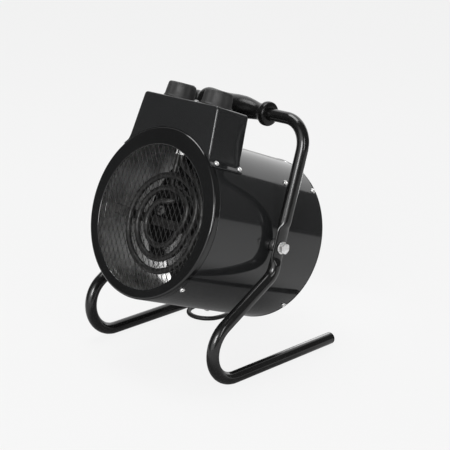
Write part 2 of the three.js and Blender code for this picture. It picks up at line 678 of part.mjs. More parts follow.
// The hand grip: a collar and neck at one end, a palm swell and a fuller butt, flatter below.
function handleGrip() {
  const profile = [
    [-84, 10.6], [-82.5, 11.6], [-72, 11.9], [-67.5, 14], [-63, 17.4], [-58, 18.7], [-52, 18.5], [-42, 17.4],
    [-30, 16.6], [-15, 16.7], [-2, 17.2], [10.7, 16.7], [21.6, 14.9], [32.5, 12.4], [40, 11.6], [45, 12.2],
    [48, 14.8], [50, 15.9], [56, 15.9], [58, 14.4],
  ];
  const count = 14;
  const ring = (x, radius, under) =>
    Array.from({ length: count }, (_, j) => {
      const a = (2 * PI * (j + 0.5)) / count;
      const low = Math.sin(a) < 0 ? under : radius;
      return new THREE.Vector3(x, radius * Math.cos(a), low * Math.sin(a));
    });
  const under = (x, r) => (x > 46 || x < -50 ? r : Math.min(r, grip.under + 0.35 * (r - 11)));
  const outer = profile.map(([x, r]) => ring(x, r, under(x, r)));
  const hole = grip.wall / Math.cos(PI / count);
  return loft(outer, [profile[0], profile.at(-1)].map(([x]) => ring(x, hole, hole)));
}

// ---------------------------------------------------------------- mains lead
// Where the lead isn't coiled, in the object's own frame.
const runPoints = [
  [-80, 107.63, 67.02], [-80.2, 115, 64.1], [-81, 125.6, 57.2], [-83, 133, 45.8], [-86, 134.8, 32],
  [-90.4, 130.6, 18.8], [-96, 119.5, 8], [-101.5, 105.5, 3.6], [-105.5, 91.5, 3.3],
  [-107.2, 77.6, 3.3], [-103.4, 63.5, 3.3], [-93.1, 53.2, 3.3], [-79, 49.4, 3.3], [-64.9, 53.2, 3.3],
  [-54.6, 63.5, 3.3], [-50.8, 77.6, 3.3], [-51.2, 92, 3.3], [-52.4, 112, 3.3], [-53.7, 132, 3.6],
  [-54.4, 150, 4.4], [-54.4, 168, 5], [-54.4, 184.4, 5],
];
const tailPoints = [
  [-100.6, 230.6, 12.1], [-112, 230.6, 12.1], [-125, 230.6, 12.5], [-138, 230.6, 13.2],
  [-147.6, 228.9, 14], [-156, 224, 15], [-162.2, 216.6, 16.2], [-165.6, 207.5, 17.2],
  [-166, 202.6, 17.7], [-166, 196, 18.1], [-166, 190, 18.3],
];
const vectors = (list) => list.map((p) => new THREE.Vector3(...p));

function cordTube(points, steps) {
  const curve = new THREE.CatmullRomCurve3(vectors(points), false, "centripetal");
  const section = new THREE.Shape();
  for (let j = 0; j < cord.sides; j++) {
    const a = (2 * PI * j) / cord.sides;
    section[j ? "lineTo" : "moveTo"](cord.radius * Math.cos(a), cord.radius * Math.sin(a));
  }
  return new THREE.ExtrudeGeometry(section, { steps, bevelEnabled: false, extrudePath: curve });
}

// The coil spirals in, climbs a layer in the half turn where it reverses, and spirals out.
function coilLine(stepsPerTurn) {
  const { coilX, coilY, coilOuter, pitch, layer, turns } = cord;
  const reverse = turns * PI;
  const count = Math.round(turns * stepsPerTurn);
  return Array.from({ length: count + 1 }, (_, i) => {
    const angle = (2 * PI * turns * i) / count;
    const radius = coilOuter - (pitch * (reverse - Math.abs(angle - reverse))) / (2 * PI);
    const climb = THREE.MathUtils.smoothstep(angle, reverse - PI / 2, reverse + PI / 2);
    const z = 5 + layer * climb;
    return new THREE.Vector3(coilX + radius * Math.cos(angle), coilY + radius * Math.sin(angle), z);
  });
}

// Least gap between turns, measured between points more than half a turn apart.
function leastSelfGap() {
  const steps = 96;
  const line = coilLine(steps);
  let least = Infinity;
  for (let i = 0; i < line.length; i++)
    for (let j = i + steps / 2; j < line.length; j++) least = Math.min(least, line[i].distanceTo(line[j]));
  return least - 2 * cord.radius;
}

function cordCoil() {
  const round = () => [cord.radius * HEXAGON, cord.radius * HEXAGON];
  return loft(carried(coilLine(24), new THREE.Vector3(0, 0, 1), round, 6));
}

// A flat tie closed round the whole bundle of turns.
function cordTie() {
  const { coilX, coilY, coilOuter, pitch, layer, turns, radius } = cord;
  const [wide, deep] = [6, 1];
  const out = coilOuter + radius + GAP + 0.4;
  const inward = coilOuter - (pitch * turns) / 2 - radius - GAP - 1.6;
  const low = 5 - radius - GAP - 0.1;
  const high = 5 + layer + radius + GAP + 0.2;
  const shape = new THREE.Shape();
  shape.moveTo(inward - deep, low - deep).lineTo(out + deep, low - deep);
  shape.lineTo(out + deep, high + deep).lineTo(inward - deep, high + deep);
  const hole = new THREE.Path();
  hole.moveTo(inward, low).lineTo(inward, high).lineTo(out, high).lineTo(out, low);
  shape.holes.push(hole);
  const band = new THREE.ExtrudeGeometry(shape, { depth: wide, bevelEnabled: false });
  return band.rotateX(PI / 2).translate(0, wide / 2, 0).rotateZ(PI).translate(coilX, coilY, 0);
}

function cordGland() {
  const { nut, nutLong, root, tip, sleeve, spigot } = gland;
  const face = rearRing.depth + GAP;
  const body = turned([
    [0, face - rearRing.sheet - spigot], [root, face - rearRing.sheet - spigot], [root, face + 1],
    [root, face + nutLong], [tip, face + nutLong + sleeve], [0, face + nutLong + sleeve],
  ], 14);
  return join(body, rod(nut, face, face + nutLong, 8)).translate(gland.x, 0, gland.h);
}

// The plug lies on its side, its pins towards the front.
function plugBody() {
  const { body, grip: hold, long, neck } = plug;
  return turned([
    [0, 0], [body - 1, 0], [body, 1.2], [body, 9], [hold + 1, 15], [hold, 24], [hold - 2, long],
    [5.6, long + 4], [4, long + neck], [0, long + neck],
  ], 16);
}

function addCord() {
  node(heater, "cord_run", cordTube(runPoints, 34), rubber);
  node(heater, "cord_coil", cordCoil(), rubber);
  node(heater, "cord_tail", cordTube(tailPoints, 10), rubber);
  node(heater, "cord_tie", cordTie(), blackPlastic);
  node(tilted, "cord_gland", cordGland(), blackPlastic);
  const [x, y] = tailPoints.at(-1);
  const socketFace = y - GAP - plug.long - plug.neck;
  const body = node(heater, "plug_body", plugBody(), rubber);
  body.position.set(x, socketFace, plug.z);
  for (const [name, way] of [["a", -1], ["b", 1]]) {
    const pin = rod(plug.pin, -plug.pinLong - GAP, -GAP, 10);
    node(heater, `plug_pin_${name}`, pin, brass).position.set(x + (way * plug.pinApart) / 2, socketFace, plug.z);
  }
}

// ---------------------------------------------------------------- assembly
node(unit, "stand_tube", standTube(), blackPaint);
node(unit, "handle_grip", handleGrip(), blackPlastic).position.copy(inUnit(0, stand.barY, stand.barZ));
addFeetAndPivots();

node(tilted, "housing_shell", housingShell(), blackPaint);
node(tilted, "front_bezel", frontBezel(), blackPaint);
node(tilted, "front_grille", net(frontNet, netRadius, netFront), wire);
node(tilted, "inner_liner", innerLiner(), steel);
node(tilted, "rear_ring", rearRingPlate(), blackPaint);
const rearNetPlace = rearRing.depth - rearRing.sheet - GAP - rearNet.thickness;
node(tilted, "rear_grille", net(rearNet, rearNet.radius, rearNetPlace), wire);
node(tilted, "heating_element", heatingElement(), darkSteel);
node(tilted, "element_support", elementSupport(), steel);
node(tilted, "terminal_plate", terminalPlate(), steel);
addTerminals();
addFanAndMotor();
node(tilted, "control_box", controlBox(), blackPaint);
addControls();
addScrews();
addCord();
console.log("coil gap", leastSelfGap().toFixed(2));

export default heater;
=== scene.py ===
import math
import bmesh
import bpy
import numpy as np
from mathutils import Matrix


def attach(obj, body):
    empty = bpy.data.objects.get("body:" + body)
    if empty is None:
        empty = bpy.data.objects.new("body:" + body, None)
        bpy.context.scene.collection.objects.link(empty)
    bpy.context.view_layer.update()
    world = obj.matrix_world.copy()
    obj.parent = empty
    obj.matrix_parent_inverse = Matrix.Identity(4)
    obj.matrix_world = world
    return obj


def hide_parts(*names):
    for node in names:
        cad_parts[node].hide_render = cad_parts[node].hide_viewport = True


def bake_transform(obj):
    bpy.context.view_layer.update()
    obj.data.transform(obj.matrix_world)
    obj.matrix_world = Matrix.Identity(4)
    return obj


# Forced air heater: a gloss black drum that tilts in a stand bent from one tube, with a control
# box on top, mesh guards, a spiral element and a fan. Shapes are worked out in mm and stored in m.

MM = 0.001
TILT = math.radians(21.24)
PIVOT_Y, PIVOT_Z = 9.9766, 165.06

DRUM_R, SHEET = 111.0, 1.2
# The last two numbers bound the low front patch inside the drum that gets bright metal, a painted place for
# glints.
DRUM_FRONT, DRUM_REAR, GLINT_S, GLINT_H = -108.4, 94.4, 20.0, -64.0
BEZEL_FRONT, BEZEL_REAR, OPENING, OPENING_DROP = -118.45, -108.8, 93.4, 5.0
RING_FACE, RING_BACK, RING_INNER = 94.7, 95.94, 86.0
BOX_TOP, BOX_HALF, BOX_SPREAD, BOX_FRONT, BOX_REAR = 150.0, 67.8, 0.115, -116.8, -58.6
KNOB_X, KNOB_S, LAMP_S = 34.0, -86.4, -88.0
TUBE_R, BAR_Y, BAR_Z = 8.0, 59.5766, 318.8
FOOT_X, FOOT_Z = 117.65, 8.0
CORD_R = 3.2
ELEMENT_R, ELEMENT_S, ELEMENT_DROP = 4.0, -91.0, 9.5
ELEMENT_ENDS = (("right", 3.2, -91.0), ("left", -14.5, -79.0))
SIDES = (("right", 1), ("left", -1))
SCREWS = [
    (46.1, -105.0, 112.8), (46.3, -61.8, 112.8), (-45.9, -105.0, 111.3), (46.4, 31.6, 111.3),
    (45.9, 89.6, 111.3), (-44.0, 89.6, 111.3),
]
SCREW_NAMES = ["box_front", "box_rear", "bezel", "bracket", "rear_top", "rear_low"]

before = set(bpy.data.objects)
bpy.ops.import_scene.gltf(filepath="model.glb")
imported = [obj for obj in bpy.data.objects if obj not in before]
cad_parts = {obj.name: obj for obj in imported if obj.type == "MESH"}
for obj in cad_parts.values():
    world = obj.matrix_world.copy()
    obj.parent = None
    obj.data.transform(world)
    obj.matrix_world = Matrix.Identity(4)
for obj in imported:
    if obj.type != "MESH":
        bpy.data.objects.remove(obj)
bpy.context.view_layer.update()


# ------ frames, grids and profiles
def in_drum(p):
    """Drum frame (x, s along its axis, h up) to the row frame: turned nose-up about x at the pivot."""
    x, s, h = p.T
    c, k = math.cos(TILT), math.sin(TILT)
    return np.stack([x, PIVOT_Y + s * c + h * k, PIVOT_Z + h * c - s * k], 1)


def in_row(p):
    """Points that are in the row frame already."""
    return p


def quads(rows, columns, wrap_rows=False, wrap_columns=False):
    """The faces of a rows x columns grid of points: each joins a point to its next row and column."""
    last_row, last_column = rows - (not wrap_rows), columns - (not wrap_columns)
    r, c = np.meshgrid(np.arange(last_row), np.arange(last_column), indexing="ij")
    r2, c2 = (r + 1) % rows * columns, (c + 1) % columns
    r = r * columns
    return np.stack([r + c, r + c2, r2 + c2, r2 + c], -1).reshape(-1, 4)


def grid(points, wrap_rows=False, wrap_columns=True):
    """An array of rows x columns points as a surface."""
    rows, columns = points.shape[:2]
    return points.reshape(-1, 3), quads(rows, columns, wrap_rows, wrap_columns)


def closed_ends(points):
    """Rows of points with one more at each end, all at that end's middle, which closes a bar."""
    middle = points.mean(1, keepdims=True) + 0 * points
    return np.concatenate([middle[:1], points, middle[-1:]])


def full_turn(sides):
    """Evenly spaced angles, all the way round."""
    return np.linspace(0, 2 * np.pi, sides, endpoint=False)


def rectangle(a0, b0, a1, b1):
    """Its four corners in order."""
    return [(a0, b0), (a1, b0), (a1, b1), (a0, b1)]


def dome(radius, level, rise, steps):
    """A quarter ellipse up to the axis: (radius cos a, level + rise sin a)."""
    return [(radius * math.cos(a), level + rise * math.sin(a)) for a in np.linspace(0, math.pi / 2, steps)]


def softened(outline, radius, steps=3, closed=True, hold=0.0):
    """A polygon whose corners are quadratic curves that start and end at most radius from the corner.
    A point is held that far outside each end of a curve, so that the flat between them shades flat."""
    p = np.array(outline, float)
    before, after = np.roll(p, 1, 0) - p, np.roll(p, -1, 0) - p
    reach = np.array(radius, float) * np.ones(len(p))
    la, lb = np.linalg.norm(before, axis=1), np.linalg.norm(after, axis=1)
    reach = np.minimum(reach, 0.45 * np.minimum(la, lb))
    if not closed:
        reach[[0, -1]] = 0
    a = p + before / np.maximum(la, 1e-9)[:, None] * reach[:, None]
    b = p + after / np.maximum(lb, 1e-9)[:, None] * reach[:, None]
    t = np.linspace(0, 1, steps + 1)[None, :, None]
    curve = a[:, None] * (1 - t) ** 2 + 2 * p[:, None] * t * (1 - t) + b[:, None] * t**2
    if hold:
        early = a + before / np.maximum(la, 1e-9)[:, None] * hold
        late = b + after / np.maximum(lb, 1e-9)[:, None] * hold
        curve = np.concatenate([early[:, None], curve, late[:, None]], 1)
    return curve.reshape(-1, p.shape[1])


def turned(profile, sides=96, closed=True):
    """A profile of (radius r, place y) carried round the y axis: x = r cos a, z = r sin a."""
    r, y = np.array(profile, float).T
    a = full_turn(sides)
    points = np.stack([np.outer(r, np.cos(a)), np.outer(y, np.ones(sides)), np.outer(r, np.sin(a))], -1)
    return grid(points, wrap_rows=closed)


def capped(profile, sides):
    """A turned profile that starts and ends on the axis, so it is closed by two poles."""
    return turned(profile, sides, closed=False)


def smooth_path(points, step):
    """Centripetal Catmull-Rom curve through the points, resampled every step along its length."""
    p = np.array(points, float)
    p = np.vstack([2 * p[0] - p[1], p, 2 * p[-1] - p[-2]])
    d = np.sqrt(np.linalg.norm(np.diff(p, axis=0), axis=1))[:, None]
    x0, x1, x2, x3 = p[:-3], p[1:-2], p[2:-1], p[3:]
    d0, d1, d2 = d[:-2], d[1:-1], d[2:]
    m1 = ((x1 - x0) / d0 - (x2 - x0) / (d0 + d1) + (x2 - x1) / d1) * d1
    m2 = ((x2 - x1) / d1 - (x3 - x1) / (d1 + d2) + (x3 - x2) / d2) * d1
    t = np.linspace(0, 1, 24, endpoint=False)[None, :, None]
    x1, x2, m1, m2 = x1[:, None], x2[:, None], m1[:, None], m2[:, None]
    curve = x1 + m1 * t + (3 * (x2 - x1) - 2 * m1 - m2) * t**2 + (2 * (x1 - x2) + m1 + m2) * t**3
    return resampled(np.vstack([curve.reshape(-1, 3), p[-2]]), step)


def resampled(curve, step):
    """A polyline's points again, evenly spaced by its length."""
    length = np.concatenate([[0], np.cumsum(np.linalg.norm(np.diff(curve, axis=0), axis=1))])
    at = np.linspace(0, length[-1], max(2, int(round(length[-1] / step)) + 1))
    return np.stack([np.interp(at, length, curve[:, k]) for k in range(3)], 1)


def filleted(corners, steps=24):
    """Straight runs joined by arcs: a corner's arc of radius R starts R / tan(half angle) from it."""
    p = np.array([c[0] for c in corners], float)
    path = [p[:1]]
    for i in range(1, len(p) - 1):
        radius = corners[i][1]
        before, after = p[i - 1] - p[i], p[i + 1] - p[i]
        before, after = before / np.linalg.norm(before), after / np.linalg.norm(after)
        half = math.acos(np.clip(before @ after, -1, 1)) / 2
        centre = p[i] + (before + after) / np.linalg.norm(before + after) * radius / math.sin(half)
        u = p[i] + before * radius / math.tan(half) - centre
        w = p[i] + after * radius / math.tan(half) - centre
        span = math.pi - 2 * half
        t = np.linspace(0, 1, steps)[:, None]
        path.append(centre + (u * np.sin((1 - t) * span) + w * np.sin(t * span)) / math.sin(span))
    return np.vstack([*path, p[-1:]])


def swept(path, across, up, reference, sides, ends=True):
    """An ellipse of half-widths across and up along a path, its first axis kept near the reference."""
    tangent = np.gradient(path, axis=0)
    tangent /= np.linalg.norm(tangent, axis=1)[:, None]
    normal = np.array(reference, float) - (tangent @ np.array(reference, float))[:, None] * tangent
    normal /= np.linalg.norm(normal, axis=1)[:, None]
    other = np.cross(tangent, normal)
    a = full_turn(sides)[None, :, None]
    wide = np.broadcast_to(across, len(path))[:, None, None]
    high = np.broadcast_to(up, len(path))[:, None, None]
    ring = wide * np.cos(a) * normal[:, None] + high * np.sin(a) * other[:, None]
    points = path[:, None] + ring
    if ends:
        points = np.concatenate([path[:1, None] + ring[:1] * 0, points, path[-1:, None] + ring[-1:] * 0])
    return grid(points)


def slab(low, high, soft=0.4):
    """A block whose outline in x and y is softened, between two z levels with softened rims."""
    (x0, y0, z0), (x1, y1, z1) = low, high
    level = np.array([[0.5, z0], [0, z0 + soft], [0, z1 - soft], [0.5, z1]])
    rings = []
    for inset, z in [(1.0, z0), *[(soft * f, z) for f, z in level], (1.0, z1)]:
        if inset == 1.0:
            ring = np.tile([(x0 + x1) / 2, (y0 + y1) / 2, z], (16, 1))
        else:
            outline = rectangle(x0 + inset, y0 + inset, x1 - inset, y1 - inset)
            ring = np.column_stack([softened(outline, soft * 2), np.full(16, z)])
        rings.append(ring)
    return grid(np.array(rings))


def upright(surface):
    """A shape turned about y stood along z instead: (x, y, z) becomes (x, -z, y)."""
    p, faces = surface
    return np.stack([p[:, 0], -p[:, 2], p[:, 1]], 1), faces


def moved(surface, dx=0.0, dy=0.0, dz=0.0):
    """The same surface somewhere else."""
    return surface[0] + np.array([dx, dy, dz]), surface[1]


def spun(surface, degrees):
    """The same surface turned about the y axis."""
    a = math.radians(degrees)
    p = surface[0]
    x, z = p[:, 0] * math.cos(a) - p[:, 2] * math.sin(a), p[:, 0] * math.sin(a) + p[:, 2] * math.cos(a)
    return np.stack([x, p[:, 1], z], 1), surface[1]


def linked(name, data):
    """A new object with this data, in the scene."""
    obj = bpy.data.objects.new(name, data)
    bpy.context.scene.collection.objects.link(obj)
    return obj


def facing(at, towards):
    """The turns that point a levelled camera or lamp at a place."""
    away = np.array(at, float) - np.array(towards, float)
    return math.atan2(math.hypot(away[0], away[1]), away[2]), 0.0, math.atan2(away[0], -away[1])


def piece(name, surfaces, material, body, nodes=(), place=in_drum, crease=34.0, slot=None, wall=None):
    """One mesh from closed surfaces: doubled points merged, faces outward, smooth but for creases."""
    counts = np.cumsum([0] + [len(p) for p, _ in surfaces])
    points = np.vstack([place(p) for p, _ in surfaces]) * MM
    faces = []
    for (_, f), n in zip(surfaces, counts):
        faces += (f + n).tolist() if hasattr(f, "tolist") else [[v + int(n) for v in face] for face in f]
    mesh = bpy.data.meshes.new(name)
    mesh.from_pydata(points, [], faces)
    work = bmesh.new()
    work.from_mesh(mesh)
    bmesh.ops.remove_doubles(work, verts=work.verts, dist=2e-6)
    bmesh.ops.dissolve_degenerate(work, dist=1e-7, edges=work.edges)
    bmesh.ops.recalc_face_normals(work, faces=work.faces)
    work.to_mesh(mesh)
    work.free()
    mesh.shade_smooth()
    mesh.set_sharp_from_angle(angle=math.radians(crease))
    obj = linked(name, mesh)
    mesh.materials.append(material)
    if wall:
        solid = obj.modifiers.new("wall", "SOLIDIFY")
        solid.thickness, solid.offset, solid.use_even_offset = wall * MM, -1, True
    if body:
        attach(obj, body)
    if nodes:
        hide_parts(*nodes)
    return obj


def on_stand(name, surfaces, material, nodes, slot, place=in_row, crease=34.0):
    """A piece of the stand, in the row frame."""
    return piece(name, surfaces, material, "stand", nodes, place, crease, slot)


def on_drum(name, surfaces, material, nodes, slot, **more):
    """A piece of the drum, in the drum's frame."""
    return piece(name, surfaces, material, "heater_drum", nodes, slot=slot, **more)


# ------ camera
CAMERA_AT, CAMERA_TARGET, FOCAL = (1195.3, -1145.8, 693.5), (11.89, 22.04, 166.82), 104.78


def add_camera():
    """A long lens at the photograph's place, levelled, looking at the middle of the drum."""
    data = bpy.data.cameras.new("camera")
    data.sensor_width, data.lens, data.clip_end = 36.0, FOCAL, 60.0
    camera = linked("camera", data)
    camera.location = np.array(CAMERA_AT) * MM
    camera.rotation_euler = facing(camera.location, np.array(CAMERA_TARGET) * MM)
    bpy.context.scene.camera = camera


add_camera()


# ------ finishes
NOISE_SPAN = (0.3, 0.7)


class Finish:
    """A material built from nodes that read object coordinates."""

    def __init__(self, name, colour, roughness, metallic=0.0, **sockets):
        self.material = bpy.data.materials.new(name)
        self.material.use_nodes = True
        self.tree = self.material.node_tree
        self.shader = self.tree.nodes["Principled BSDF"]
        self.shader.inputs["Base Color"].default_value = (*colour, 1.0)
        self.shader.inputs["Roughness"].default_value = roughness
        self.shader.inputs["Metallic"].default_value = metallic
        for key, value in sockets.items():
            self.shader.inputs[key.replace("_", " ")].default_value = value
        self.place = self.node("TexCoord").outputs["Object"]

    def node(self, kind):
        return self.tree.nodes.new("ShaderNode" + kind)

    def stretched(self, scale):
        """Object coordinates scaled unevenly, for grain that runs one way."""
        mapping = self.node("Mapping")
        mapping.inputs["Scale"].default_value = scale
        self.tree.links.new(self.place, mapping.inputs["Vector"])
        return mapping.outputs["Vector"]

    def noise(self, scale, detail=3.0, vector=None):
        """Cloudy noise, mostly within NOISE_SPAN; scale counts lumps in a metre."""
        made = self.node("TexNoise")
        made.inputs["Scale"].default_value = scale
        made.inputs["Detail"].default_value = detail
        self.tree.links.new(vector or self.place, made.inputs["Vector"])
        return made.outputs["Fac"]

    def rough(self, value, low, high):
        """Roughness that runs from low to high with a pattern."""
        made = self.node("MapRange")
        for key, number in zip(["From Min", "From Max", "To Min", "To Max"], [*NOISE_SPAN, low, high]):
            made.inputs[key].default_value = number
        self.tree.links.new(value, made.inputs["Value"])
        self.tree.links.new(made.outputs["Result"], self.shader.inputs["Roughness"])

    def tint(self, value, dark, light):
        """Colour that runs from dark to light with a pattern."""
        ramp = self.node("ValToRGB")
        for stop, place, colour in zip(ramp.color_ramp.elements, NOISE_SPAN, (dark, light)):
            stop.position, stop.color = place, (*colour, 1.0)
        self.tree.links.new(value, ramp.inputs["Fac"])
        self.tree.links.new(ramp.outputs["Color"], self.shader.inputs["Base Color"])

    def bump(self, value, depth):
        """Raises the surface by the pattern, to depth in mm."""
        made = self.node("Bump")
        made.inputs["Distance"].default_value = depth * MM
        made.inputs["Strength"].default_value = 1.0
        self.tree.links.new(value, made.inputs["Height"])
        self.tree.links.new(made.outputs["Normal"], self.shader.inputs["Normal"])


def grey(level, warm=0.0):
    """A neutral colour, a little warmer or cooler."""
    return (level * (1 + warm), level, level * (1 - warm))


def stove_enamel(name="gloss_black_enamel", low=0.013, high=0.0165):
    """Sprayed gloss black: faint orange peel, with dust dulling it in patches."""
    f = Finish(name, grey(low, -0.03), 0.08)
    f.rough(f.noise(26, 4.0), 0.06, 0.11)
    f.tint(f.noise(9, 3.0), grey(low, -0.03), grey(high, -0.03))
    f.bump(f.noise(420, 2.0), 0.004)
    return f.material


def tube_enamel():
    """The same spray on the tube, a little duller."""
    f = Finish("tube_black_enamel", grey(0.006), 0.14)
    f.rough(f.noise(60, 4.0), 0.11, 0.18)
    f.tint(f.noise(14, 3.0), grey(0.005), grey(0.008))
    f.bump(f.noise(600, 2.0), 0.004)
    return f.material


def moulded(name, low, high, rough_low, rough_high, grain, depth, shine=0.5):
    """Moulded plastic with a spark-eroded grain."""
    f = Finish(name, grey(high), rough_high, Specular_IOR_Level=shine)
    f.tint(f.noise(70, 4.0), grey(low), grey(high))
    f.rough(f.noise(180, 3.0), rough_low, rough_high)
    f.bump(f.noise(grain, 2.0), depth)
    return f.material


def plated_zinc(name="bright_zinc", low=0.6, high=0.92, metallic=0.9):
    """Bright zinc: cloudy, slightly uneven reflections and fine scratches."""
    f = Finish(name, grey(high, 0.01), 0.34, metallic)
    f.tint(f.noise(160, 4.0), grey(low, 0.015), grey(high))
    f.rough(f.noise(300, 3.0), 0.3, 0.5)
    f.bump(f.noise(900, 2.0), 0.012)
    return f.material


def liner_steel(name="aluminised_sheet", rough_low=0.3, rough_high=0.48):
    """Aluminised sheet: rolling marks along the axis and a darker tint from heat."""
    f = Finish(name, grey(0.7), rough_high, 1.0)
    marks = f.noise(1.0, 4.0, f.stretched((260, 24, 260)))
    f.tint(f.noise(24, 5.0), grey(0.5, 0.015), grey(0.72))
    f.rough(marks, rough_low, rough_high)
    f.bump(marks, 0.02)
    return f.material


def mill_steel(name="pressed_steel", level=0.5):
    """Plain pressed steel or aluminium with a dull, cloudy surface."""
    f = Finish(name, grey(level), 0.36, 1.0)
    f.tint(f.noise(60, 5.0), grey(level * 0.75), grey(level))
    f.rough(f.noise(120, 4.0), 0.28, 0.46)
    f.bump(f.noise(600, 3.0), 0.012)
    return f.material


def guard_wire():
    """Painted expanded metal, satin, worn a little lighter in places."""
    f = Finish("guard_enamel", grey(0.012), 0.3, Specular_IOR_Level=0.35)
    f.tint(f.noise(90, 4.0), grey(0.015), grey(0.027))
    f.rough(f.noise(220, 3.0), 0.24, 0.4)
    f.bump(f.noise(900, 2.0), 0.015)
    return f.material


def element_sheath():
    """Oxidised sheath of the element: near black, with a mottled bloom from heat."""
    f = Finish("oxidised_sheath", grey(0.03), 0.36, 0.4)
    f.tint(f.noise(130, 5.0), grey(0.009, 0.03), grey(0.034, 0.02))
    f.rough(f.noise(260, 4.0), 0.26, 0.46)
    f.bump(f.noise(800, 3.0), 0.02)
    return f.material


def steatite():
    """Cream ceramic, lightly glazed."""
    f = Finish("steatite", (0.7, 0.66, 0.58), 0.4)
    f.tint(f.noise(200, 4.0), (0.6, 0.56, 0.48), (0.74, 0.71, 0.64))
    f.bump(f.noise(500, 3.0), 0.02)
    return f.material


ENAMEL, TUBE_ENAMEL = stove_enamel(), tube_enamel()
# The front ring has the same gloss black, made darker as painted shade on its face.
RING_ENAMEL_SHADED = stove_enamel("ring_enamel_painted_shade", 0.004, 0.007)
KNOB_PLASTIC = moulded("knob_plastic", 0.015, 0.023, 0.5, 0.64, 1100, 0.03)
GRIP_PLASTIC = moulded("grip_plastic", 0.004, 0.007, 0.2, 0.3, 500, 0.01, 0.22)
RUBBER = moulded("cord_rubber", 0.010, 0.016, 0.4, 0.55, 900, 0.02)
PLAIN_PLASTIC = moulded("black_moulding", 0.012, 0.018, 0.3, 0.42, 800, 0.02)
MOTOR_PAINT = moulded("motor_paint", 0.003, 0.005, 0.5, 0.65, 300, 0.02, 0.1)
# Matt black for the inside of the drum's sheet: painted shade.
INNER_PAINTED_SHADE = moulded("inner_painted_shade", 0.003, 0.006, 0.55, 0.7, 400, 0.01, 0.12)
LENS = moulded("frosted_lens", 0.26, 0.32, 0.2, 0.3, 700, 0.01)
# The second zinc here is the same plating made much darker: painted shade for the spacers, shanks and nuts
# that sit between the drum and the stand or inside the drum.
ZINC, ZINC_PAINTED_SHADE = plated_zinc(), plated_zinc("zinc_painted_shade", 0.16, 0.3, 1.0)
# The second, smoother copy of the sheet goes low inside the drum's front, a painted place for glints.
LINER, GLINT_SHEET = liner_steel(), liner_steel("glint_sheet", 0.16, 0.26)
# The fan's steel is a darker copy of the pressed steel: painted shade in the drum's middle.
STEEL, FAN_METAL_SHADED, NICKEL = mill_steel(), mill_steel("fan_metal", 0.14), mill_steel("nickel_pins", 0.75)
WIRE, SHEATH, CERAMIC = guard_wire(), element_sheath(), steatite()


# ------ mains lead
RUN = [
    (-80, 107.63, 67.02), (-80.2, 115, 64.1), (-81, 125.6, 57.2), (-83, 133, 45.8), (-86, 134.8, 32),
    (-90.4, 130.6, 18.8), (-96, 119.5, 8), (-101.5, 105.5, 3.6), (-105.5, 91.5, 3.3), (-107.2, 77.6, 3.3),
    (-103.4, 63.5, 3.3), (-93.1, 53.2, 3.3), (-79, 49.4, 3.3), (-64.9, 53.2, 3.3), (-54.6, 63.5, 3.3),
    (-50.8, 77.6, 3.3), (-51.2, 92, 3.3), (-52.4, 112, 3.3), (-53.7, 132, 3.6), (-54.4, 150, 4.4),
    (-54.4, 168, 5), (-54.4, 184.4, 5),
]
TAIL = [
    (-100.6, 230.6, 12.1), (-112, 230.6, 12.1), (-125, 230.6, 12.5), (-138, 230.6, 13.2),
    (-147.6, 228.9, 14), (-156, 224, 15), (-162.2, 216.6, 16.2), (-165.6, 207.5, 17.2),
    (-166, 202.6, 17.7), (-166, 196, 18.1), (-166, 190, 18.3),
]
COIL_X, COIL_Y, COIL_OUTER, COIL_PITCH, COIL_LAYER, COIL_TURNS = -100.0, 185.0, 45.6, 7.0, 7.1, 4.25
GLAND_X, GLAND_H = -80.0, -56.0
PLUG_AT = (-166.0, 133.7, 18.3)


def coil_path():
    """Radius falls by a pitch a turn to half way and grows again; the height steps up a layer there."""
    half = COIL_TURNS * math.pi
    angle = np.linspace(0, 2 * half, 620)
    radius = COIL_OUTER - COIL_PITCH * (half - np.abs(angle - half)) / (2 * math.pi)
    t = np.clip((angle - half) / math.pi + 0.5, 0, 1)
    height = 5 + COIL_LAYER * t * t * (3 - 2 * t)
    return np.stack([COIL_X + radius * np.cos(angle), COIL_Y + radius * np.sin(angle), height], 1)


def plug_body():
    """A turned body with finger grooves and a ribbed neck that tapers to the lead."""
    y = np.linspace(9, 30, 60)
    grooves = 0.5 * (1 - np.cos((y - 9) * 2 * math.pi / 4.2)) * (y < 26)
    waist = 18 - 4.6 * np.clip((y - 9) / 13, 0, 1) ** 1.4 - grooves
    neck_y = np.linspace(36, 55.4, 50)
    ribs = 0.55 * (np.sin((neck_y - 36) * 2 * math.pi / 3.2) > 0.2)
    neck = 6.2 - 2.2 * (neck_y - 36) / 19.4 - ribs
    foot, shoulder = [(0, 0), (16.2, 0), (17.4, 0.5), (18, 1.6)], [(11.5, 33), (8.5, 35.4)]
    profile = [*foot, *zip(waist, y), *shoulder, *zip(neck, neck_y), (0, 55.4)]
    return moved(capped(profile, 64), *PLUG_AT)


def plug_pins():
    """Two round pins with rounded tips."""
    pin = capped([(0, -0.3), (2.4, -0.3), *dome(2.4, -16.6, -2.4, 7)], 20)
    x, y, z = PLUG_AT
    return [moved(pin, x + way * 9.5, y, z) for way in (-1, 1)]


def cord_tie():
    """A flat strap that follows a rounded rectangle round the bundle of turns."""
    inner, outer = COIL_OUTER - COIL_PITCH * COIL_TURNS / 2 - CORD_R - 1.9, COIL_OUTER + CORD_R + 0.7
    low, high = 5 - CORD_R - 0.4, 5 + COIL_LAYER + CORD_R + 0.5
    loop = softened(rectangle(inner - 0.5, low - 0.5, outer + 0.5, high + 0.5), 2.4, 5)
    centre = loop.mean(0)
    outward = loop - centre
    outward /= np.linalg.norm(outward, axis=1)[:, None]
    wide = np.array([[-2.9, -0.45], [2.9, -0.45], [2.9, 0.45], [-2.9, 0.45]])
    radial = loop[:, None] + outward[:, None] * wide[None, :, 1:]
    across = np.broadcast_to(wide[None, :, 0], radial.shape[:2])
    points = np.stack([COIL_X - radial[..., 0], COIL_Y + across, radial[..., 1]], -1)
    return grid(points, wrap_rows=True)


